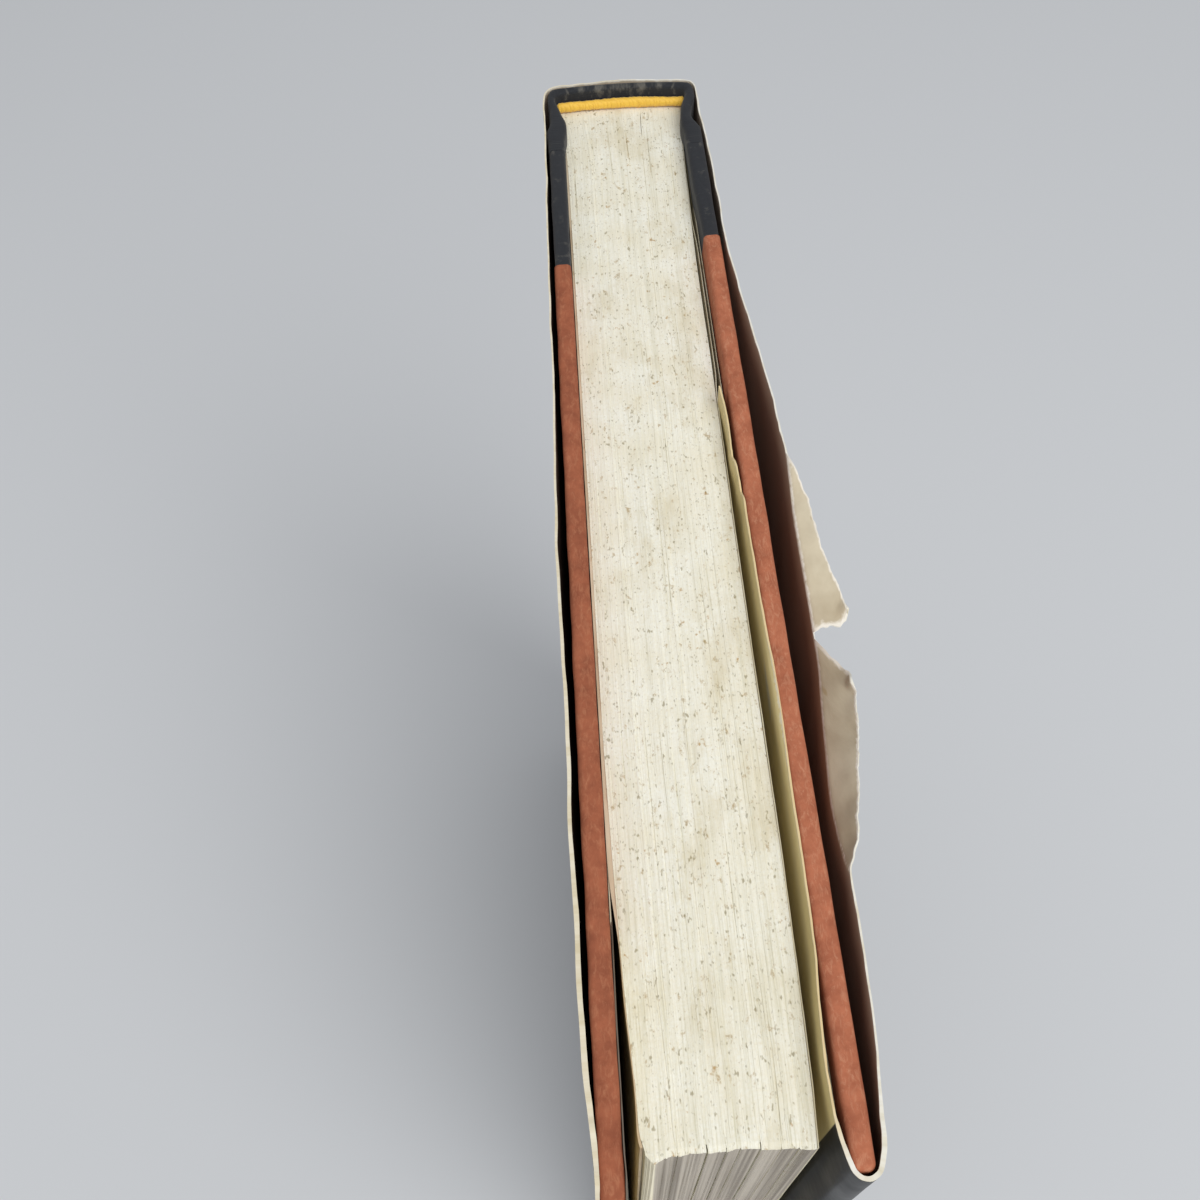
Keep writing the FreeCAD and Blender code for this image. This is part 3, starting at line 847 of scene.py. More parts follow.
@dataclass
class TextBlock:
    """The leaves: a stack whose edges stand at slightly different heights, leaf by leaf."""

    finish: Material
    leaves: int = 150
    # How far forward each share of the stack reaches, and how deep it opens between leaves.
    fore_line: Line = (
        (0.0, -71.2), (0.03, -71.75), (0.055, -72.02), (0.08, -71.81), (0.115, -71.6), (0.156, -71.46),
        (0.19, -71.56), (0.21, -71.47), (0.256, -71.34), (0.316, -71.39), (0.362, -71.28), (0.37, -71.42),
        (0.468, -71.32), (0.48, -71.4), (0.53, -71.2), (0.668, -71.27), (0.675, -71.4), (0.86, -71.44),
        (0.96, -71.6), (1.0, -71.6))
    gaps: Line = (
        (0.19, 0.12), (0.262, 0.08), (0.365, 0.6), (0.474, 0.35), (0.56, 0.1), (0.672, 0.7), (0.79, 0.12),
        (0.9, 0.1))
    # The head's two sides in plan, and how upright the front one's corner is at each height.
    left_line: Line = (
        (-71.2, -6.75), (-70.3, -7.03), (-69.4, -7.15), (-65.0, -7.25), (-58.0, -7.65), (-46.0, -8.0),
        (-32.6, -8.22), (8.6, -8.25), (57.0, -8.27), (61.8, -8.4), (64.7, -8.58), (67.7, -8.95),
        (71.5, -9.35))
    right_line: Line = (
        (-71.6, 8.15), (-66.9, 8.37), (-56.0, 8.48), (-45.0, 8.5), (-33.7, 8.36), (-5.0, 8.2), (22.0, 8.2),
        (28.0, 8.1), (36.6, 8.03), (46.7, 8.06), (57.6, 8.17), (63.3, 8.3), (66.2, 8.4), (70.3, 8.75),
        (71.5, 8.95))
    upright: Line = ((TAIL_Z, 0.6), (120, 0.6), (150, 0.5), (178, 0.28), (205, 0.06), (HEAD_Z, 0.0))
    # Cracks on the head: where across it, from where to where along it, and how deep.
    cracks: tuple[tuple[float, float, float, float], ...] = (
        (0.67, 70.3, 64.5, 0.5), (0.73, 70.2, 67.5, 0.5), (0.71, 67.5, 55.0, 0.16), (0.53, 66.7, 60.0, 0.3),
        (0.375, 66.6, 55.0, 0.12), (0.05, 58.0, 48.0, 0.25), (0.8, -62.0, FORE_Y, 0.16))
    fine_cracks: int = 90
    # How unevenly the leaves stand on the head and the fore-edge: clump by clump, and leaf by leaf.
    clump_share: float = 0.45
    rise_mm: tuple[float, float] = (0.014, 0.008)
    proud_mm: tuple[float, float] = (0.035, 0.015)

    def left(self, y: np.ndarray, z: np.ndarray) -> np.ndarray:
        """Where the front of the stack lies. Near the fore-edge its head corner leans inwards."""
        line = read(self.left_line, y)
        return line + (np.minimum(line, -HALF_BLOCK) - line) * read(self.upright, z)

    def right(self, y: np.ndarray) -> np.ndarray:
        """Where the back of the stack lies."""
        return read(self.right_line, y)

    def build(self) -> None:
        """Build the stack, one column of faces to a leaf."""
        draw = np.random.default_rng(11)
        widths = draw.uniform(0.6, 1.5, self.leaves)
        edges = np.concatenate([[0.0], np.cumsum(widths)]) / widths.sum()
        middle = (edges[1:] + edges[:-1]) / 2

        # Places round the stack, seen from the side: along the head, down the fore-edge, along the tail.
        head_y = stations(SPINE_Y - 0.1, (66, 0.5), (40, 2.2), (-66, 3.0), (FORE_Y + 0.6, 0.8),
                          (FORE_Y, 0.15))
        fore_z = stations(HEAD_Z - 0.15, (HEAD_Z - 0.6, 0.15), (HEAD_Z - 6, 0.9), (TAIL_Z + 6, 4.5),
                          (TAIL_Z + 0.2, 0.8))
        count = len(head_y)
        ys = np.concatenate([head_y, np.full(len(fore_z), FORE_Y), head_y[::-1]])
        zs = np.concatenate([np.full(count, HEAD_Z), fore_z, np.full(count, TAIL_Z)])
        part = np.repeat([0, 1, 2], [count, len(fore_z), count])

        # Clumps of a few leaves stand a little high or low, and the fore-edge opens between some of them.
        clump = np.cumsum(draw.random(self.leaves) < self.clump_share)
        rise, proud = (draw.normal(0, by_clump, clump.max() + 1)[clump] + draw.normal(0, by_leaf, self.leaves)
                       for by_clump, by_leaf in (self.rise_mm, self.proud_mm))
        gap = np.zeros(self.leaves)
        for place, depth in self.gaps:
            gap[int(np.argmin(np.abs(middle - place)))] = depth
        # Many more cracks are fine, and most of those are near the fore-edge.
        cracks = list(self.cracks)
        for _ in range(self.fine_cracks):
            first = draw.uniform(-71, 62) if draw.random() < 0.6 else draw.uniform(-71, -35)
            cracks.append((draw.random(), first + draw.uniform(3, 18), first, draw.uniform(0.03, 0.12)))
        steps = FORE_Y - read(self.fore_line, middle) + 0.5 * proud

        sag = Waves(3, (140, 60, 25))
        py, pz = (np.tile(line, (self.leaves, 1)) for line in (ys, zs))
        on_head, on_fore, on_tail = (part == k for k in (0, 1, 2))
        on = ys[on_head]
        corner = ease(FORE_Y + 0.7, FORE_Y, on)
        along = 0.07 * sag.at(on[None, :], middle[:, None] * 16)
        fade = ease(70.8, 69, on)
        pz[:, on_head] += (rise[:, None] + along * 0.5) * fade
        pz[:, on_head] -= gap[:, None] * fade * (0.02 + 0.25 * ease(-69, FORE_Y, on))
        for place, first, last, depth in cracks:
            column = int(np.argmin(np.abs(middle - place)))
            pz[column, on_head] -= depth * ease(first, first - 2, on) * ease(last, last + 2, on)
        pz[:, on_head] -= 0.1 * corner
        ripple = 0.1 * sag.at(zs[on_fore][None, :] * 0.7, middle[:, None] * 22 + 50)
        grown = 0.4 * ease(HEAD_Z, HEAD_Z - 8, zs[on_fore])
        py[:, on_fore] += -steps[:, None] + ripple * grown + gap[:, None] * 0.9
        shift = -steps[:, None] * ease(FORE_Y + 6, FORE_Y, on)
        py[:, on_head] += shift + (gap[:, None] * 0.9) * corner
        py[:, on_tail] += shift[:, ::-1]
        pz[:, on_tail] -= rise[:, None] * 0.8
        # The spine is rounded, and the leaves drift a little to one side and the other along the head.
        bow = -SPINE_CROWN * ((middle * 2 - 1) ** 2)
        py += bow[:, None] * ease(69.5, SPINE_Y, ys) * ~on_fore
        drift = 0.09 * sag.at(ys[None, :] * 1.3, edges[:, None] * 30) * (1 - ease(62, 71, ys))
        left, right = self.left(ys, zs), self.right(ys)
        px = left + (right - left) * edges[:, None] + drift * np.sin(math.pi * edges)[:, None]
        verts = np.stack([np.stack([x, py, pz], -1) for x in (px[:-1], px[1:])], 1).reshape(-1, 3)
        made = make_object("leaves", verts, self.faces(len(ys), count), verts, [self.finish], smooth=False)
        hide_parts("text_block")
        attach(made, ROOT)

    def faces(self, ring: int, count: int) -> list:
        """The faces of the stack: each leaf's edge, the steps between leaves, and the two sides.

        Args:
            ring: how many places there are round a leaf.
            count: how many of them lie along its head. As many lie along its tail.

        Returns:
            The corner numbers of each face.
        """
        number = np.arange(self.leaves * 2 * ring).reshape(self.leaves, 2, ring)
        onward = np.roll(number, -1, axis=2)
        edges = np.stack([number[:, 0], number[:, 1], onward[:, 1], onward[:, 0]], -1).reshape(-1, 4)
        steps = np.stack([number[:-1, 1], number[1:, 0], onward[1:, 0], onward[:-1, 1]], -1).reshape(-1, 4)
        opposite = ring - 1 - np.arange(count)
        sides = []
        for outer in (number[0, 0], number[-1, 1]):
            near, far = outer[:count], outer[opposite]
            sides.append(np.stack([near[:-1], near[1:], far[1:], far[:-1]], -1))
        fore_ends = [outer[count - 1:ring - count + 1].tolist() for outer in (number[0, 0], number[-1, 1])]
        return np.vstack([edges, steps, *sides]).tolist() + fore_ends


@dataclass
class FreeEndpaper:
    """The loose half of an endpaper, lying against the leaves and curling at the fore-edge."""

    side: Side
    block: TextBlock
    finish: Material
    clearance: float = 0.03
    curl: float = 0.15
    loose: float = 0.05

    def build(self) -> None:
        """Build the leaf."""
        fore = FORE_Y + (0.9 if self.side is Side.FRONT else 0.0)
        y = stations(SPINE_Y - 0.6, (60, 0.8), (-50, 2), (-66, 1.0), (fore, 0.4))
        z = stations(TAIL_Z, (180, 6), (198, 2.0), (HEAD_Z - 0.1, 0.5))
        yy, zz = np.meshgrid(y, z)
        wave = Waves(21 + self.side.value, (90, 30))
        if self.side is Side.FRONT:
            # Its fore edge curls away from the leaves, most of all at the head.
            curl = self.curl * ease(150, HEAD_Z, zz) * ease(-66.0, FORE_Y, yy)
            x = self.block.left(yy, zz) - self.clearance - curl
            x -= 0.06 * ease(-20, -60, yy) * (1 + wave.at(yy, zz))
            x = np.maximum(x, -8.3 - SHOULDER * ease(52, SPINE_Y, yy))
            # Above the slipped flap, the head leans over to the board and the next leaves follow it.
            over = ease(214.2, HEAD_Z - 0.3, zz) * ease(-54, -44, yy) * ease(66, 56, yy)
            x += (-(BOARD_IN_X - 0.08) - x) * over
        else:
            x = self.block.right(yy) + self.clearance + ENDPAPER
            x += self.loose * (1 + wave.at(yy, zz)) * ease(40, 0, yy)
            # Beyond the jacket's flap, its head leans over to the board.
            board_face = PASTEDOWN_X + math.tan(BACK_OPENING - BACK_CLOSING) * (HINGE_Y - yy) - ENDPAPER
            board_face -= 0.3 * ease(40, 48, yy)
            over = ease(14.5, 18.5, yy) * ease(66, 58, yy) * ease(HEAD_Z - 15, HEAD_Z, zz) ** 1.4
            x += np.maximum(board_face - x, 0) * over
        face = np.stack([x, yy, zz + 0.08 * Waves(31, (14, 5)).at(yy) * ease(200, HEAD_Z, zz)], -1)
        back = face - np.array([ENDPAPER * self.side.value, 0, 0])
        if self.side is Side.FRONT:
            back[..., 0] = np.maximum(back[..., 0], self.block.left(yy, zz) + self.clearance)
        chart = np.stack([yy, zz, leaf_inset(yy, zz)], -1)
        made = make_sheet(self.side.label + "_endpaper_leaf", face, back, chart, [self.finish] * 3)
        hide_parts(self.side.label + "_free_endpaper")
        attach(made, ROOT)


def leaf_inset(y: np.ndarray, z: np.ndarray) -> np.ndarray:
    """How far in from the nearest free edge of a leaf each place lies."""
    return np.minimum(np.minimum(HEAD_Z - z, z - TAIL_Z), y - FORE_Y)


@dataclass
class Headband:
    """A roll of ribbed band on the edge of the leaves, bowed with the spine."""

    finish: Material
    at_head: bool
    half_width: float = 9.7
    front: float = -1.2
    back: float = 0.15
    rise: float = 1.6
    rib_mm: float = 0.58
    slant: float = 0.5
    ribs_deep: float = 0.1

    def build(self) -> None:
        """Build the ribbed roll."""
        along = stations(-self.half_width, (self.half_width, 0.06))
        turns = np.linspace(0, 2 * math.pi, 26, endpoint=False)
        aa, tt = np.meshgrid(along, turns, indexing="ij")
        uneven = Waves(51, (5.3, 2.3, 1.1))
        depth = (self.back - self.front) / 2
        phase = (aa + self.slant * np.cos(tt) + 0.45 * uneven.at(aa * 0.7)) / self.rib_mm
        rib = np.abs(np.sin(math.pi * phase)) ** 0.7 * (0.6 + 0.4 * uneven.at(aa * 0.9 + 9, tt))
        end = 1 - 0.65 * (1 - ease(0, 0.7, self.half_width - np.abs(aa)))
        relief = self.ribs_deep * (rib - 1)
        radius_y = (depth + relief) * end
        radius_z = (self.rise / 2 + relief + 0.08 * uneven.at(aa + 40)) * end
        bow = -SPINE_CROWN * (aa / (HALF_BLOCK + SHOULDER)) ** 2
        y = SPINE_Y + (self.front + self.back) / 2 + bow + radius_y * np.cos(tt)
        lift = self.rise / 2 + radius_z * np.sin(tt)
        z = HEAD_Z + lift if self.at_head else TAIL_Z - lift
        verts, chart = (np.stack(grids, -1).reshape(-1, 3) for grids in ((aa, y, z), (aa, tt, rib)))
        name = "headband_roll" if self.at_head else "tailband_roll"
        made = make_object(name, verts, tube(*aa.shape), chart, [self.finish])
        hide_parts("headband" if self.at_head else "tailband")
        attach(made, ROOT)


# ---- case ----------------------------------------------------------------------------------------


@dataclass
class BoardSkin:
    """A covering that goes right round a stretch of the board, with soft arrises."""

    side: Side
    name: str
    fore: float
    back: float
    fore_round: bool
    back_round: bool
    grow: float
    bulge: float = 0.0
    arris: float = 0.7
    nose: float = 0.75
    uneven: float = 0.05

    def build(self, finish: Material) -> Piece:
        """Build the skin as a closed form.

        Args:
            finish: its material.

        Returns:
            The new object, not yet riding on anything.
        """
        x0, x1 = BOARD_IN_X - self.grow * 0.2, BOARD_OUT_X + self.grow
        z0, z1 = -self.grow * 0.3, CASE_HEIGHT + self.grow * 0.3
        r = self.arris
        turn = np.linspace(0, math.pi / 2, 7)
        heights = stations(z0 + r, (z0 + 8, 1.6), (z1 - 8, 4.0), (z1 - r, 1.6))
        corner = np.concatenate([
            np.stack([x1 - r + r * np.cos(turn), z1 - r + r * np.sin(turn)], -1),
            np.stack([x0 + r - r * np.sin(turn), z1 - r + r * np.cos(turn)], -1)])
        inner = np.stack([np.full(len(heights), x0), heights[::-1]], -1)[1:-1]
        foot = np.concatenate([
            np.stack([x0 + r - r * np.cos(turn), z0 + r - r * np.sin(turn)], -1),
            np.stack([x1 - r + r * np.sin(turn), z0 + r - r * np.cos(turn)], -1)])
        outer = np.stack([np.full(len(heights), x1), heights], -1)[1:-1]
        loop = np.concatenate([corner, inner, foot, outer])
        middle_x = (x0 + x1) / 2
        toward = np.clip(loop, [middle_x, z0 + r * 1.2], [middle_x, z1 - r * 1.2]) - loop
        toward = toward / np.maximum(np.linalg.norm(toward, axis=1, keepdims=True), 1e-6)
        edge = ease(z1 - 5, z1, loop[:, 1]) + ease(z0 + 5, z0, loop[:, 1])
        # Beside the joint the turned-in covering stands off the inner face, at the head and tail.
        turned_in = ease(213.5, 216.5, loop[:, 1]) + ease(5.5, 2.5, loop[:, 1])
        turned_in = turned_in * ease(x1 - 0.6, x0, loop[:, 0])
        places, insets = [], []
        ease_in = np.linspace(0, math.pi / 2, 8)
        if self.fore_round:
            places += [self.fore + self.nose * (1 - math.cos(a)) for a in ease_in]
            insets += [r * (1 - math.sin(a)) for a in ease_in]
        else:
            places.append(self.fore)
            insets.append(0.0)
        last = self.back - r if self.back_round else self.back
        middle = stations(places[-1], (last, 1.3))[1:]
        places += list(middle)
        insets += [0.0] * len(middle)
        if self.back_round:
            places += [last + r * math.sin(a) for a in ease_in[1:]]
            insets += [r - r * math.cos(a) for a in ease_in[1:]]
        wave = Waves(61 + self.side.value, (40, 17, 7))
        rows = []
        for y, inset in zip(places, insets):
            here = np.full(len(loop), y)
            uneven = self.uneven * (wave.at(here, loop[:, 1] + loop[:, 0] * 3) * (0.35 + 0.65 * edge) - 1)
            drawn = loop + toward * (min(inset, r) - uneven[:, None])
            x = drawn[:, 0] - self.bulge * turned_in * ease(42, 50, y)
            rows.append(np.stack([x, here, drawn[:, 1]], -1))
        verts = np.concatenate(rows)
        faces = tube(len(rows), len(loop), len(turn))
        return make_object(self.name, opened(verts, self.side), faces, verts, [finish])


@dataclass
class Cover:
    """One cover: its board's cloth and paper, the cloth of the joint, and the pasted endpaper."""

    side: Side
    cloth: Material
    rubbed_cloth: Material
    paper: Material
    endpaper: Material
    cloth_thickness: float = 0.25
    rolled_radius: float = 0.7

    @property
    def cloth_line(self) -> float:
        """Where the side paper's edge lies on the cloth."""
        return BOARD_BACK_Y - (27.2 if self.side is Side.FRONT else 23.2)

    def build(self) -> None:
        """Build this cover's pieces."""
        label = self.side.label
        paper = BoardSkin(self.side, label + "_side_paper_skin", fore=self.side.board_fore - 0.1,
                          back=self.cloth_line, fore_round=True, back_round=False,
                          grow=0.12).build(self.paper)
        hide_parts(label + "_side_paper")
        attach(paper, self.side.body)
        cloth = BoardSkin(self.side, label + "_cloth_skin", fore=self.cloth_line - 2.5, back=BOARD_BACK_Y,
                          fore_round=False, back_round=True, grow=0.0,
                          bulge=0.3 if self.side is Side.BACK else 0.08).build(self.cloth)
        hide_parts(label + "_cloth")
        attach(cloth, self.side.body)
        self.build_joint()
        self.build_pastedown()

    def build_joint(self) -> None:
        """The cloth from the board across the joint to the spine's corner, thicker where it is turned in."""
        line = [(10.84, 58.4), (10.85, 60.6), (10.8, 61.9), (10.45, 63.0), (9.95, 64.0), (9.75, 65.1),
                (9.85, 66.4), (10.15, 67.5), (10.5, 68.6), (10.65, 69.5), (10.62, 70.4), (10.5, 71.4),
                (10.2, 72.05), (9.5, 72.33), (7.8, 72.5), (4.0, 72.75), (0.0, 72.86)]
        # At head and tail the cloth is rolled over itself, and swells in beside the leaves.
        rolled = [(8.6, 58.4), (8.56, 60.6), (8.36, 61.9), (8.18, 63.0), (8.15, 64.0), (8.2, 65.1),
                  (8.36, 66.4), (8.56, 67.5), (8.9, 68.6), (9.2, 69.5), (9.3, 70.35), (9.2, 70.7),
                  (9.0, 70.95), (8.6, 71.2), (7.4, 71.35), (4.0, 71.65), (0.0, 71.76)]
        if self.side is Side.FRONT:
            line = [(x + 0.7 * float(ease(61, 64, y) * ease(68.6, 66, y)), y) for x, y in line]
            rolled = [(x + 0.4 * float(ease(64.5, 67, y) * ease(72, 70, y)), y) for x, y in rolled]
        plan = smooth_line(line, 0.3)
        along, rolled_at = distances(plan), distances(np.asarray(line))
        rolled_at *= along[-1] / rolled_at[-1]
        z = stations(0.0, (0.7, 0.1), (4, 0.6), (16, 2), (200, 6), (214, 1.5), (218.2, 0.6),
                     (CASE_HEIGHT, 0.1))
        xx, zz = np.meshgrid(plan[:, 0], z)
        yy = np.broadcast_to(plan[:, 1], zz.shape)
        closed = np.stack([xx, yy, zz], -1)
        lap = np.stack([np.broadcast_to(np.interp(along, rolled_at, np.asarray(rolled)[:, k]), zz.shape)
                        for k in (0, 1)] + [zz], -1)
        inner = thickened(closed, self.cloth_thickness)
        inner = inner + (lap - inner) * (ease(205, 217, zz) + ease(14, 2, zz))[..., None]
        # Its edges at head and tail are rounded, as a rolled edge is.
        thickness = np.linalg.norm(inner - closed, axis=-1)
        radius = np.minimum(thickness / 2, self.rolled_radius)
        past = np.clip(np.maximum(zz - CASE_HEIGHT + radius, radius - zz) / radius, 0, 0.97)
        share = (radius * (1 - np.sqrt(1 - past**2)) / thickness)[..., None]
        face = self.at_rest(closed + (inner - closed) * share)
        inner = self.at_rest(inner + (closed - inner) * share)
        chart = np.stack([xx, yy + xx, zz], -1)
        made = make_sheet(self.side.label + "_joint_cloth", face, inner, chart, [self.rubbed_cloth] * 3)
        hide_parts("spine_cloth")
        blend_hinge(made, self.side)

    def build_pastedown(self) -> None:
        """The half of the endpaper that is pasted to the board, with the fold that crosses the joint."""
        line = [(9.32, 70.6), (9.0, 67.6), (8.72, 65.0), (8.52, 62.0), (8.5, 58.0),
                (8.5, self.side.board_fore + 3.2)]
        plan = smooth_line(line, 1.6)
        z = stations(TAIL_Z + 0.2, (200, 8), (HEAD_Z - 0.3, 1.5))
        xx, zz = np.meshgrid(plan[:, 0], z)
        yy = np.broadcast_to(plan[:, 1], zz.shape)
        wave = Waves(71, (50, 20))
        face = np.stack([xx - 0.02 * (1 + wave.at(yy, zz)), yy, zz], -1)
        crossing = ease(60.0, 66.0, yy)[..., None]
        face, back = (opened(grid, self.side) * (1 - crossing) + self.at_rest(grid) * crossing
                      for grid in (face, face + np.array([ENDPAPER, 0.0, 0.0])))
        chart = np.stack([yy, zz, leaf_inset(yy, zz)], -1)
        made = make_sheet(self.side.label + "_pasted_endpaper", face, back, chart, [self.endpaper] * 3)
        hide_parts(self.side.label + "_pastedown")
        blend_hinge(made, self.side)

    def at_rest(self, grid: np.ndarray) -> np.ndarray:
        """Points that stay with the block, on this cover's side."""
        return grid * np.array([self.side.value, 1.0, 1.0])


def blend_hinge(piece: Piece, side: Side) -> None:
    """Bake a sheet's transform into its mesh. It works out two places across the joint, and does not bend the
    sheet.

    Args:
        piece: the finished sheet.
        side: the cover's side.
    """
    start, end = (DATUM.metres(np.array([side.value * HINGE_X, y, CASE_HEIGHT / 2]))
                  for y in (BLEND_START_Y, BLEND_END_Y))
    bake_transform(piece)


# ---- dust jacket -----------------------------------------------------------------------------------


@dataclass(frozen=True)
class TurnedCorner:
    """A torn corner of the jacket's head: where it is creased, how far it is turned out, its torn edge."""

    crease: Line
    fold: Line
    torn: Line
    side: int
    # The crease takes a little way to reach its angle.
    bend: float = 0.4

    def crease_height(self, y: np.ndarray) -> np.ndarray:
        """The crease's height at places along the panel."""
        return read(sorted(self.crease), y)

    def spans(self, y: np.ndarray) -> np.ndarray:
        """Which places along the panel have the crease below them."""
        ends = [place for place, _ in self.crease]
        return (y > min(ends)) & (y < max(ends))

    def torn_place(self, z: np.ndarray) -> np.ndarray:
        """Where along the panel the torn edge lies, at each height."""
        return read(self.torn, z)

    def turned(self, points: np.ndarray, mask: np.ndarray, ripple: np.ndarray) -> np.ndarray:
        """Turn the corner out.

        Args:
            points: the sheet, lying flat.
            mask: which points may be part of this corner.
            ripple: how far each place stands off the smooth bend.

        Returns:
            The sheet with the corner turned.
        """
        y, z = points[..., 1], points[..., 2]
        crease = self.crease_height(y)
        height = z - crease
        inside = mask & (height > 0) & self.spans(y)
        angle = np.radians(read(sorted(self.fold), y))
        turning = angle * np.clip(height / self.bend, 0, 1)
        soft = np.minimum(height, self.bend) / np.maximum(turning, 1e-3)
        rest = np.maximum(height - self.bend, 0)
        out = soft * (1 - np.cos(turning)) + rest * np.sin(angle)
        up = soft * np.sin(turning) + rest * np.cos(angle)
        # The torn tip curls back over itself.
        from_tip = np.hypot(y - self.torn[-1][1], CASE_HEIGHT - z)
        ripple = ripple + 0.8 * ease(1.4, 0, from_tip)
        moved = points.copy()
        moved[..., 0] = np.where(inside, points[..., 0] + out - ripple * np.cos(angle), points[..., 0])
        moved[..., 1] = np.where(inside, y + 0.18 * self.side * out, y)
        moved[..., 2] = np.where(inside, crease + up + ripple * np.sin(angle), z)
        return moved


# Where the tear's two edges start, along the panel, and how high up it they start.
TEAR_SPINEWARD = -19.4
TEAR_FOREWARD = -19.9
TEAR_LOW_Z = 214.5
# The panel counts as beginning here, past the fore-edge fold. Places along the sheet are below 0 on it.
PANEL_END = -3.0


@dataclass(frozen=True)
class Tear:
    """The torn head of the back panel: a notch, with a corner turned out on each side of it."""

    toward_spine: TurnedCorner = TurnedCorner(
        crease=((2.6, 219.2), (1.2, 218.4), (-0.6, 217.9), (-3.6, 217.1), (-6.9, 216.75), (-9.0, 216.6),
                (-11.2, 216.2), (-14.0, 215.6), (-16.5, 215.15), (-19.4, 214.6), (-21.0, 214.4)),
        fold=((3.0, 60), (-2.0, 82), (-8.0, 88), (-19.5, 92)),
        torn=((210.0, -19.4), (214.6, -19.4), (216.0, -19.1), (217.6, -19.3), (218.4, -18.9),
              (219.0, -17.9)),
        side=1)
    toward_fore: TurnedCorner = TurnedCorner(
        crease=((-17.0, 214.6), (-19.7, 214.5), (-24.4, 214.55), (-27.2, 214.7), (-31.6, 214.9),
                (-36.0, 215.1), (-40.0, 215.4), (-44.0, 216.2), (-46.5, 217.4), (-48.5, 219.2)),
        fold=((-17.0, 54), (-22.0, 54), (-27.0, 50), (-32.0, 47), (-38.0, 42), (-44.0, 36), (-49.0, 26)),
        torn=((210.0, -19.9), (214.6, -19.9), (215.5, -21.6), (216.6, -23.4), (218.0, -25.0), (218.6, -25.6),
              (219.0, -26.6)),
        side=-1)

    def parted(self, y: np.ndarray, z: np.ndarray, along: np.ndarray) -> np.ndarray:
        """Draw the sheet's columns of places aside, so that two of them follow the torn edges.

        Args:
            y: places along the panel before the sheet tore.
            z: their heights.
            along: places along the sheet, which are below 0 on the panel.

        Returns:
            The places after it.
        """
        jag = 0.14 * Waves(101, (2.6, 1.3, 0.8)).at(z) * ease(TEAR_LOW_Z, TEAR_LOW_Z + 1, z)
        sides = ((self.toward_spine, TEAR_SPINEWARD, 9), (self.toward_fore, TEAR_FOREWARD, -22))
        spineward, foreward = ((corner.torn_place(z) + jag - edge) * ease(edge + reach, edge, y)
                               for corner, edge, reach in sides)
        shift = np.where(y > (TEAR_SPINEWARD + TEAR_FOREWARD) / 2, spineward, foreward)
        return np.where((along < PANEL_END) & (z > TEAR_LOW_Z), y + shift, y)

    def charted(self, y: np.ndarray, z: np.ndarray, along: np.ndarray) -> np.ndarray:
        """Heights to lay the finishes out by: a turned corner counts as the very top of the sheet.

        Args:
            y: places along the panel.
            z: heights on the flat sheet.
            along: places along the sheet, which are below 0 on the panel.

        Returns:
            The height to use at each place.
        """
        crease = np.where(y > TEAR_SPINEWARD, self.toward_spine.crease_height(y),
                          self.toward_fore.crease_height(y))
        return np.where(along < PANEL_END, z + CASE_HEIGHT - np.minimum(crease, CASE_HEIGHT), z)


@dataclass(frozen=True)
class JacketGrid:
    """The places of one half of the jacket: along the sheet from the fore-edge fold, and in the book."""

    along: np.ndarray
    x: np.ndarray
    y: np.ndarray
    z: np.ndarray

    @property
    def meeting(self) -> np.ndarray:
        """How near each place is to the line where the two halves meet."""
        return ease(6.0, 1.5, np.abs(self.x)) * (self.y > 60)


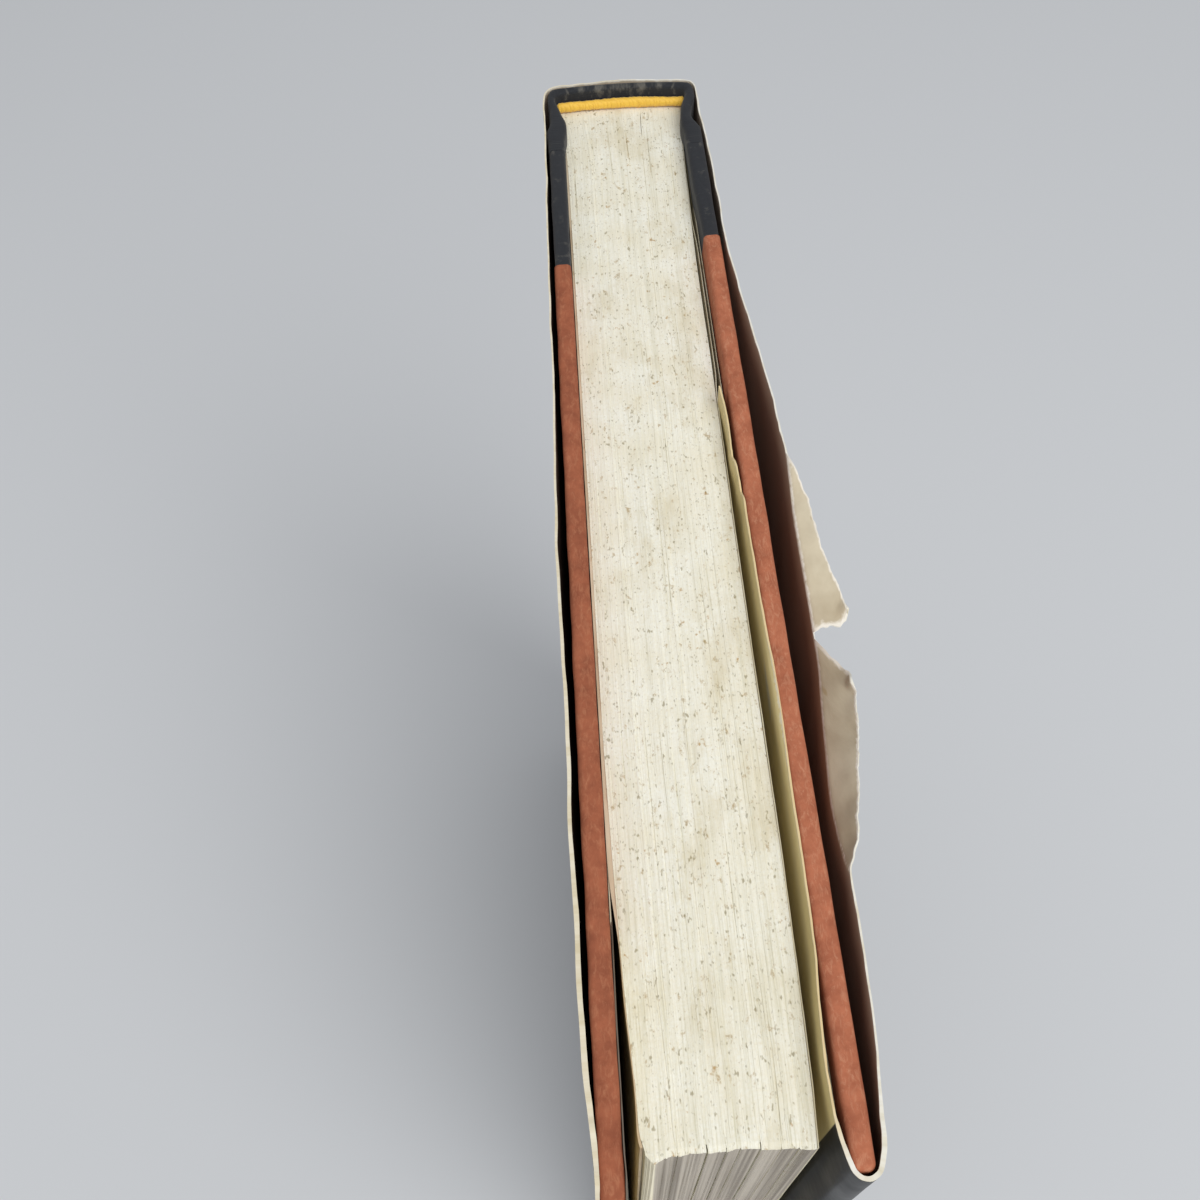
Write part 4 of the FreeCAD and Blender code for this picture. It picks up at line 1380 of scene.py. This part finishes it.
@dataclass
class DustJacket:
    """One sheet of paper round the case, in two halves that meet down the middle of the spine."""

    printed: Material
    verso: Material
    edges: dict[Side, Material]
    thickness: float = 0.15
    tear: Tear = Tear()
    # The wavelengths of its worn edges and its ripples, and how deeply head and tail are worn.
    rag_mm: tuple[float, ...] = (9, 3.7, 1.9, 1.1)
    ripple_mm: tuple[float, ...] = (34, 15, 7)
    head_wear: float = 0.09
    tail_wear: float = 0.07
    # How far the head of the front flap has slipped down: beside the fold, and further down past it.
    slipped: float = 0.75
    slipped_more: float = 4.5
    # Chips in the head of the back flap: where, half how wide, and how deep.
    chips: tuple[tuple[float, float, float], ...] = ((-2.4, 1.2, 0.8), (2.6, 0.7, 0.56))
    # How thick the front panel's split head is along it.
    rims: Line = ((-76.0, 0.3), (-73.7, 0.38), (-70.5, 0.46), (-64.0, 0.48), (-40.0, 0.36), (-10.0, 0.28),
                  (15.0, 0.18))
    # Each half's line in plan, from the middle of the spine round the fore-edge to the flap's edge.
    front_line: Line = (
        (0.0, 73.3), (-3.5, 73.1), (-7.5, 72.8), (-9.5, 72.55), (-10.4, 72.15), (-11.0, 71.2),
        (-11.3, 69.6), (-11.3, 65.0), (-11.35, 58.5), (-11.55, 46.0), (-11.7, 35.7), (-11.75, 20.7),
        (-11.9, 4.9), (-12.1, -9.3), (-12.05, -22.1), (-11.95, -33.7), (-11.95, -44.3), (-11.85, -54.0),
        (-11.75, -61.0), (-11.54, -67.0), (-11.32, -71.0), (-11.2, -73.6), (-11.12, -75.2), (-10.7, -76.1),
        (-9.8, -76.55), (-9.0, -76.3), (-8.55, -75.4), (-8.4, -73.6), (-8.36, -71.0), (-8.36, -60.0),
        (-8.36, -40.0), (-8.36, 0.0), (-8.36, 11.3))
    back_line: Line = (
        (0.0, 73.3), (4.0, 73.1), (8.0, 72.75), (9.6, 72.55), (10.4, 72.15), (10.85, 71.2), (10.98, 69.6),
        (11.0, 65.0), (11.3, 61.5), (11.55, 56.6), (11.8, 48.0), (11.95, 40.0), (12.8, 29.0), (13.9, 18.5),
        (14.7, 10.0), (15.1, 2.1), (15.25, -5.6), (15.4, -12.5), (15.6, -19.3), (15.5, -24.4),
        (15.25, -27.2), (14.95, -31.6), (14.65, -36.0), (14.45, -41.0), (14.45, -47.3), (14.5, -56.0),
        (14.15, -64.3), (13.8, -69.5), (13.4, -72.8), (12.7, -74.3), (11.8, -74.75), (10.95, -74.55),
        (10.45, -74.1), (10.12, -73.2), (9.8, -71.7), (9.55, -70.0), (9.44, -67.0), (9.38, -64.7),
        (9.52, -61.8), (9.65, -58.8), (9.9, -55.9), (9.95, -53.0), (9.98, -46.0), (9.91, -40.0),
        (10.0, -34.0), (10.06, -29.0), (9.9, -25.0), (9.7, -22.0), (9.55, -17.0), (9.42, -10.5),
        (9.33, -6.5), (9.3, -2.9), (9.08, -1.1), (9.05, 0.2), (8.78, 2.2), (8.66, 4.0), (8.72, 6.0),
        (8.63, 9.2), (8.4, 12.0), (8.25, 13.2))
    # Where the back flap lies at its foot.
    flap_foot: Line = (
        (-73.5, 10.5), (-71.0, 9.5), (-66.0, 9.0), (-58.0, 8.82), (-45.0, 8.76), (13.2, 8.6))

    def build(self) -> None:
        """Build both halves."""
        for side in Side:
            self.half(side)

    def heights(self) -> np.ndarray:
        """Heights to build at: close together at the worn head and tail."""
        return stations(0.0, (2, 0.4), (10, 1.6), (198, 5.2), (212.6, 1.2), (CASE_HEIGHT, 0.27))

    def plan(self, side: Side) -> np.ndarray:
        """The sheet's line in plan, with more places at the folds and where the panel is torn.

        Args:
            side: the cover that this half wraps.

        Returns:
            Rows of X and Y, from the middle of the spine to the flap's edge.
        """
        fine = smooth_line(self.front_line if side is Side.FRONT else self.back_line, 0.1)
        run = distances(fine)
        turn = int(np.argmin(fine[:, 1]))
        places = [(66.0, 0.5)]
        if side is Side.BACK:
            places += [(8.0, 1.2), (TEAR_SPINEWARD, 0.45), (TEAR_FOREWARD, 0.5), (-51.0, 0.45)]
        places.append((-67.0, 1.2))
        runs = [(float(np.interp(-y, -fine[:turn, 1], run[:turn])), step) for y, step in places]
        flap = float(np.interp(-67.0, fine[turn:, 1], run[turn:]))
        at = stations(0.0, (5.0, 1.0), *runs, (flap, 0.3), (run[-1] - 20, 1.2), (run[-1], 0.5))
        return np.stack([np.interp(at, run, fine[:, k]) for k in (0, 1)], axis=1)

    def trimmed(self, side: Side, at: JacketGrid) -> np.ndarray:
        """How far the worn head and tail stand above a straight cut.

        Args:
            side: the cover that this half wraps.
            at: the half's places.

        Returns:
            Distances in millimetres, mostly below 0 at the head and above it at the tail.
        """
        ragged, shared = Waves(81 + side.value, self.rag_mm), Waves(87, self.rag_mm)
        # The two halves share one outline where they meet.
        head_rag, tail_rag = (
            ragged.at(at.along + far) + (shared.at(at.x + far) - ragged.at(at.along + far)) * at.meeting
            for far in (0, 300))
        trim = self.head_wear * head_rag * ease(212, CASE_HEIGHT, at.z)
        trim -= self.tail_wear * tail_rag * ease(3, 0, at.z)
        if side is Side.FRONT:
            # The flap's head has slipped down beside the leaves, all but its corner at the fore-edge.
            slipped = self.slipped + self.slipped_more * ease(-56, -46, at.y)
            return trim - slipped * ease(4, 12, at.along) * ease(208, CASE_HEIGHT, at.z)
        chipped = sum(depth * ease(reach, 0, np.abs(at.y - place)) for place, reach, depth in self.chips)
        return trim - chipped * (at.along > 0) * ease(216.5, CASE_HEIGHT, at.z)

    def laid(self, side: Side, at: JacketGrid) -> np.ndarray:
        """Where the sheet lies across the book: how it hugs the board, ripples and turns in its flap.

        Args:
            side: the cover that this half wraps.
            at: the half's places.

        Returns:
            X at each place.
        """
        on_flap = ease(1.0, 6.0, at.along)
        out = Waves(91 + side.value, self.ripple_mm).at(at.along, at.z * 0.8)
        out = out * (0.05 + 0.04 * ease(205, CASE_HEIGHT, at.z)) * (1 - at.meeting)
        out = out * (1 - 0.6 * ease(60, 68, at.y) * (at.along < 0))
        stand = math.tan(BACK_OPENING) * (HINGE_Y - at.y) if side is Side.BACK else 0.0
        # The tail of a loose panel hugs the board more than its torn head does.
        hug = 1 - np.interp(at.z, [0, 150, CASE_HEIGHT], [0.3, 0.6, 1.0])
        on_panel = (1 - on_flap) * ease(64, 50, at.y) * ease(-4, -10, at.along)
        x = at.x - (at.x - side.value * (PANEL_X + stand)) * on_panel * hug
        x = x + side.value * np.maximum(out, -0.08) * (1 - on_flap)
        if side is Side.FRONT:
            x = x - 0.12 * (at.along > 0) * ease(-45, -62, at.y) * ease(-74, -71, at.y)
            swelling = (at.along < 0) * ease(-73.5, -65.0, at.y) * ease(216.5, 218.8, at.z)
            return x - 0.42 * (read(self.rims, at.y) - self.thickness) * swelling
        # The flap's head leans over to the board. Lower down it lies against the leaves.
        foot = read(self.flap_foot, at.y)
        leaning = foot + (x - foot) * (1 - ease(-73.6, -70, at.y) * (1 - ease(203, 220.5, at.z)))
        lip = 0.45 * np.clip((at.z - CASE_HEIGHT + 0.4) / 0.4, 0, 1)
        leaning = np.minimum(leaning, BOARD_IN_X + stand - 0.18 + lip)
        return np.where((at.along > 0) & (at.y > -73.5), leaning, x)

    def bulk(self, side: Side, at: JacketGrid) -> np.ndarray:
        """How thick the sheet is. Its head is rubbed up and split, most of all along the front panel.

        Args:
            side: the cover that this half wraps.
            at: the half's places.

        Returns:
            The thickness at each place.
        """
        more = 0.03 * (1 + Waves(81 + side.value, self.rag_mm).at(at.along * 0.6 + 70))
        if side is Side.FRONT:
            split = read(self.rims, at.y) - self.thickness
            more = np.where(at.along < 0, more + split, 0.7 * more - 0.3 * self.thickness)
        else:
            more = more + 0.26 * ease(-64, -73, at.y) * ease(8, 2, at.along)
        return self.thickness + more * ease(CASE_HEIGHT - 1.6, CASE_HEIGHT - 0.2, at.z)

    def half(self, side: Side) -> None:
        """Build one half: spine, panel, fold and flap.

        Args:
            side: the cover that it wraps.
        """
        plan = self.plan(side)
        run = distances(plan)
        turned = int(np.argmin(plan[:, 1]))
        along, z = np.meshgrid(run - run[turned], self.heights())
        x, y = (np.broadcast_to(plan[:, k], z.shape) for k in (0, 1))
        if side is Side.BACK:
            y = self.tear.parted(y, z, along)
            x = np.where(along < PANEL_END, np.interp(-y, -plan[:turned, 1], plan[:turned, 0]), x)
        at = JacketGrid(along, x, y, z)
        face = np.stack([self.laid(side, at), y, z + self.trimmed(side, at)], -1)
        edge = np.minimum(np.minimum(CASE_HEIGHT - z, z), run[-1] - run + 0.15)
        upright, kept = z, None
        if side is Side.BACK:
            face, edge, kept = self.torn(face, edge, along)
            # The turned corners count as the sheet's top, so the verso's painted depth shade stays off them.
            upright = self.tear.charted(plan[:, 1], z, along)
        back = thickened(face, self.bulk(side, at))
        if not self.points_in(face, back, turned):
            back = 2 * face - back
        chart = np.stack([along, upright, edge], -1)
        made = make_sheet("jacket_{}_half".format(side.label), face, back, chart,
                          [self.printed, self.verso, self.edges[side]], kept)
        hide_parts("jacket_" + side.label, "jacket_spine")
        blend_hinge(made, side)
        log.info("%s: %.1f mm from the middle of the spine to the flap's edge", made.name, run[-1])

    @staticmethod
    def points_in(face: np.ndarray, back: np.ndarray, turned: int) -> bool:
        """Whether the back of the sheet lies on the board's side at the fore-edge fold."""
        row = len(face) // 2
        return back[row, turned, 1] > face[row, turned, 1]

    def torn(self, face: np.ndarray, edge: np.ndarray,
             along: np.ndarray) -> tuple[np.ndarray, np.ndarray, np.ndarray]:
        """Tear the head of the back panel and turn its two corners out.

        Args:
            face: the sheet's printed face.
            edge: how far in from the nearest edge each place lies.
            along: places along the sheet, which are below 0 on the panel.

        Returns:
            The first two grids, changed, and which cells of the sheet are left.
        """
        y, z = face[..., 1], face[..., 2]
        flat_y = np.broadcast_to(self.plan(Side.BACK)[:, 1], z.shape)
        panel = along < PANEL_END
        spineward = panel & (flat_y > TEAR_SPINEWARD - 0.1)
        foreward = panel & (flat_y < TEAR_FOREWARD + 0.1)
        high = z > TEAR_LOW_Z
        corners = ((self.tear.toward_spine, spineward), (self.tear.toward_fore, foreward))
        gap = np.where(spineward, y - self.tear.toward_spine.torn_place(z),
                       self.tear.toward_fore.torn_place(z) - y)
        # A torn edge is frayed further in than a cut one, and a crease is rubbed along its line.
        edge = np.where(panel & high, np.minimum(edge, np.maximum(gap, 0) * 0.32), edge)
        for corner, mask in corners:
            rubbed = np.minimum(edge, np.abs(z - corner.crease_height(y) - 0.15) * 1.1)
            edge = np.where(mask & corner.spans(y), rubbed, edge)
        ripple = Waves(121, (11, 6, 4)).at(y, z) * 0.16 * ease(TEAR_LOW_Z, CASE_HEIGHT, z)
        for corner, mask in corners:
            face = corner.turned(face, mask, ripple)
        between = panel & ~spineward & ~foreward
        mouth = (spineward | between)[:, :-1] & (foreward | between)[:, 1:]
        cell_gone = mouth[:-1] & mouth[1:] & (z[:-1, :-1] > TEAR_LOW_Z)
        return face, edge, ~cell_gone


# ---- inside the case -------------------------------------------------------------------------------


@dataclass
class Structure:
    """Board, mull and spine lining: inside the case, and kept as they were constructed."""

    board: Material
    mull: Material
    kraft: Material

    def dress(self) -> None:
        """Give the constructed solids their finishes."""
        for finish, nodes in ((self.board, ("spine_inlay", "front_board", "back_board")),
                              (self.mull, ("spine_mull", "front_mull_flange", "back_mull_flange")),
                              (self.kraft, ("spine_lining",))):
            for node in nodes:
                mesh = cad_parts[node].data
                mesh.materials.clear()
                mesh.materials.append(finish)
                log.info("%s: dressed", node)


# ---- room ----------------------------------------------------------------------------------------


@dataclass
class Studio:
    """Camera, light and floor."""

    ground: str = "#D8DADC"
    floor_reach_m: float = 3.0
    lens_mm: float = 37.35
    camera_mm: tuple[float, float, float] = (-8.6, -87.7, 332.9)
    turn_degrees: tuple[float, float, float] = (32.09, 1.44, -3.06)
    sky: str = "#F4F6FA"
    sky_strength: float = 0.45
    lamp_mm: tuple[float, float, float] = (304.0, -832.0, 1368.0)
    lamp_aim_mm: tuple[float, float, float] = (0.0, 0.0, 200.0)
    lamp_size_m: float = 1.28
    lamp_watts: float = 17.2

    def build(self) -> None:
        """Set up the room."""
        self.build_camera()
        self.build_floor()
        self.build_light()
        bpy.context.scene.view_settings.view_transform = "Standard"

    def add(self, name: str, data: bpy.types.ID) -> Piece:
        """Put something into the room.

        Args:
            name: what it is called.
            data: what it is.

        Returns:
            The new object.
        """
        made = bpy.data.objects.new(name, data)
        bpy.context.scene.collection.objects.link(made)
        return made

    def build_camera(self) -> None:
        """Look down on the head from above the fore-edge."""
        data = bpy.data.cameras.new("camera")
        data.lens = self.lens_mm
        data.sensor_width = 36.0
        data.clip_start = 0.005
        made = self.add("camera", data)
        made.location = DATUM.metres(np.asarray(self.camera_mm))
        made.rotation_euler = [math.radians(a) for a in self.turn_degrees]
        bpy.context.scene.camera = made

    def build_floor(self) -> None:
        """A plain pale table top."""
        mesh = bpy.data.meshes.new("floor")
        reach = self.floor_reach_m
        mesh.from_pydata([(-reach, -reach, 0), (reach, -reach, 0), (reach, reach, 0), (-reach, reach, 0)], [],
                         [(0, 1, 2, 3)])
        material = bpy.data.materials.new("FloorPaint")
        material.use_nodes = True
        tree = material.node_tree
        tree.nodes.clear()
        shader = put(tree, "BsdfDiffuse", {"Color": linear(self.ground)})[0]
        put(tree, "OutputMaterial", {"Surface": shader})
        mesh.materials.append(material)
        self.add("floor", mesh)

    def build_light(self) -> None:
        """An even sky with one large soft lamp, above the fore-edge and a little to the right."""
        world = bpy.data.worlds.new("room")
        world.use_nodes = True
        tree = world.node_tree
        tree.nodes.clear()
        sky = put(tree, "Background", {"Color": linear(self.sky), "Strength": self.sky_strength})[0]
        put(tree, "OutputWorld", {"Surface": sky})
        bpy.context.scene.world = world
        data = bpy.data.lights.new("lamp", "AREA")
        data.shape = "DISK"
        data.size = self.lamp_size_m
        data.energy = self.lamp_watts
        made = self.add("lamp", data)
        made.location = DATUM.metres(np.asarray(self.lamp_mm))
        aim = Vector(DATUM.metres(np.asarray(self.lamp_aim_mm))) - made.location
        made.rotation_euler = aim.to_track_quat("-Z", "Y").to_euler()


def main() -> None:
    """Build the room and every piece of the book, in order."""
    logging.basicConfig(level=logging.INFO, format="%(name)s: %(message)s")
    Studio().build()
    block = TextBlock(CutLeaves().material())
    block.build()
    endpaper = UncoatedPaper().material()
    # The front free endpaper is the same paper coloured browner: painted shade for its outer face, which
    # stands in shadow beside the board.
    shaded_endpaper = UncoatedPaper(cream="#E6D6BA", tone="#C6AE8E").material()
    for side, paper in ((Side.FRONT, shaded_endpaper), (Side.BACK, endpaper)):
        FreeEndpaper(side, block, paper).build()
    band = RolledBand().material()
    for at_head in (True, False):
        Headband(band, at_head).build()
    cloth, rubbed_cloth = BookCloth().material(), BookCloth(head_rub=0.12).material()
    # The front cover's side paper is the same paper as the back's, coloured darker.
    side_papers = {Side.FRONT: FibrousSidePaper(brick="#A96346", deep="#8F5139", fibre="#BB7D5C"),
                   Side.BACK: FibrousSidePaper()}
    for side, side_paper in side_papers.items():
        Cover(side, cloth, rubbed_cloth, side_paper.material(), endpaper).build()
    # The verso is given painted shade that deepens below the head.
    verso = UncoatedPaper(cream="#DCD1B7", tone="#B7A88D", rim_mm=0.14, depth_shade=("#B9A590", "#948072"))
    # The front flap's dark edge colour is painted shade.
    front_edge = TornPaper(pale="#E8DFC8", soiled="#D6C9A9", flap="#5E5449", flap_reach_mm=(0.2, 2.0))
    back_edge = TornPaper(flap="#E2C892")
    DustJacket(VarnishedJacket().material(), verso.material(),
               {Side.FRONT: front_edge.material(), Side.BACK: back_edge.material()}).build()
    Structure(board=PulpBoard().material(),
              mull=UncoatedPaper(cream="#D9D2BD", tone="#BDB498", layout=Layout.PLACE).material(),
              kraft=PulpBoard(grey="#A88A62", fleck="#8A6C48", roughness=0.8).material()).dress()


if __name__ == "__main__":
    main()
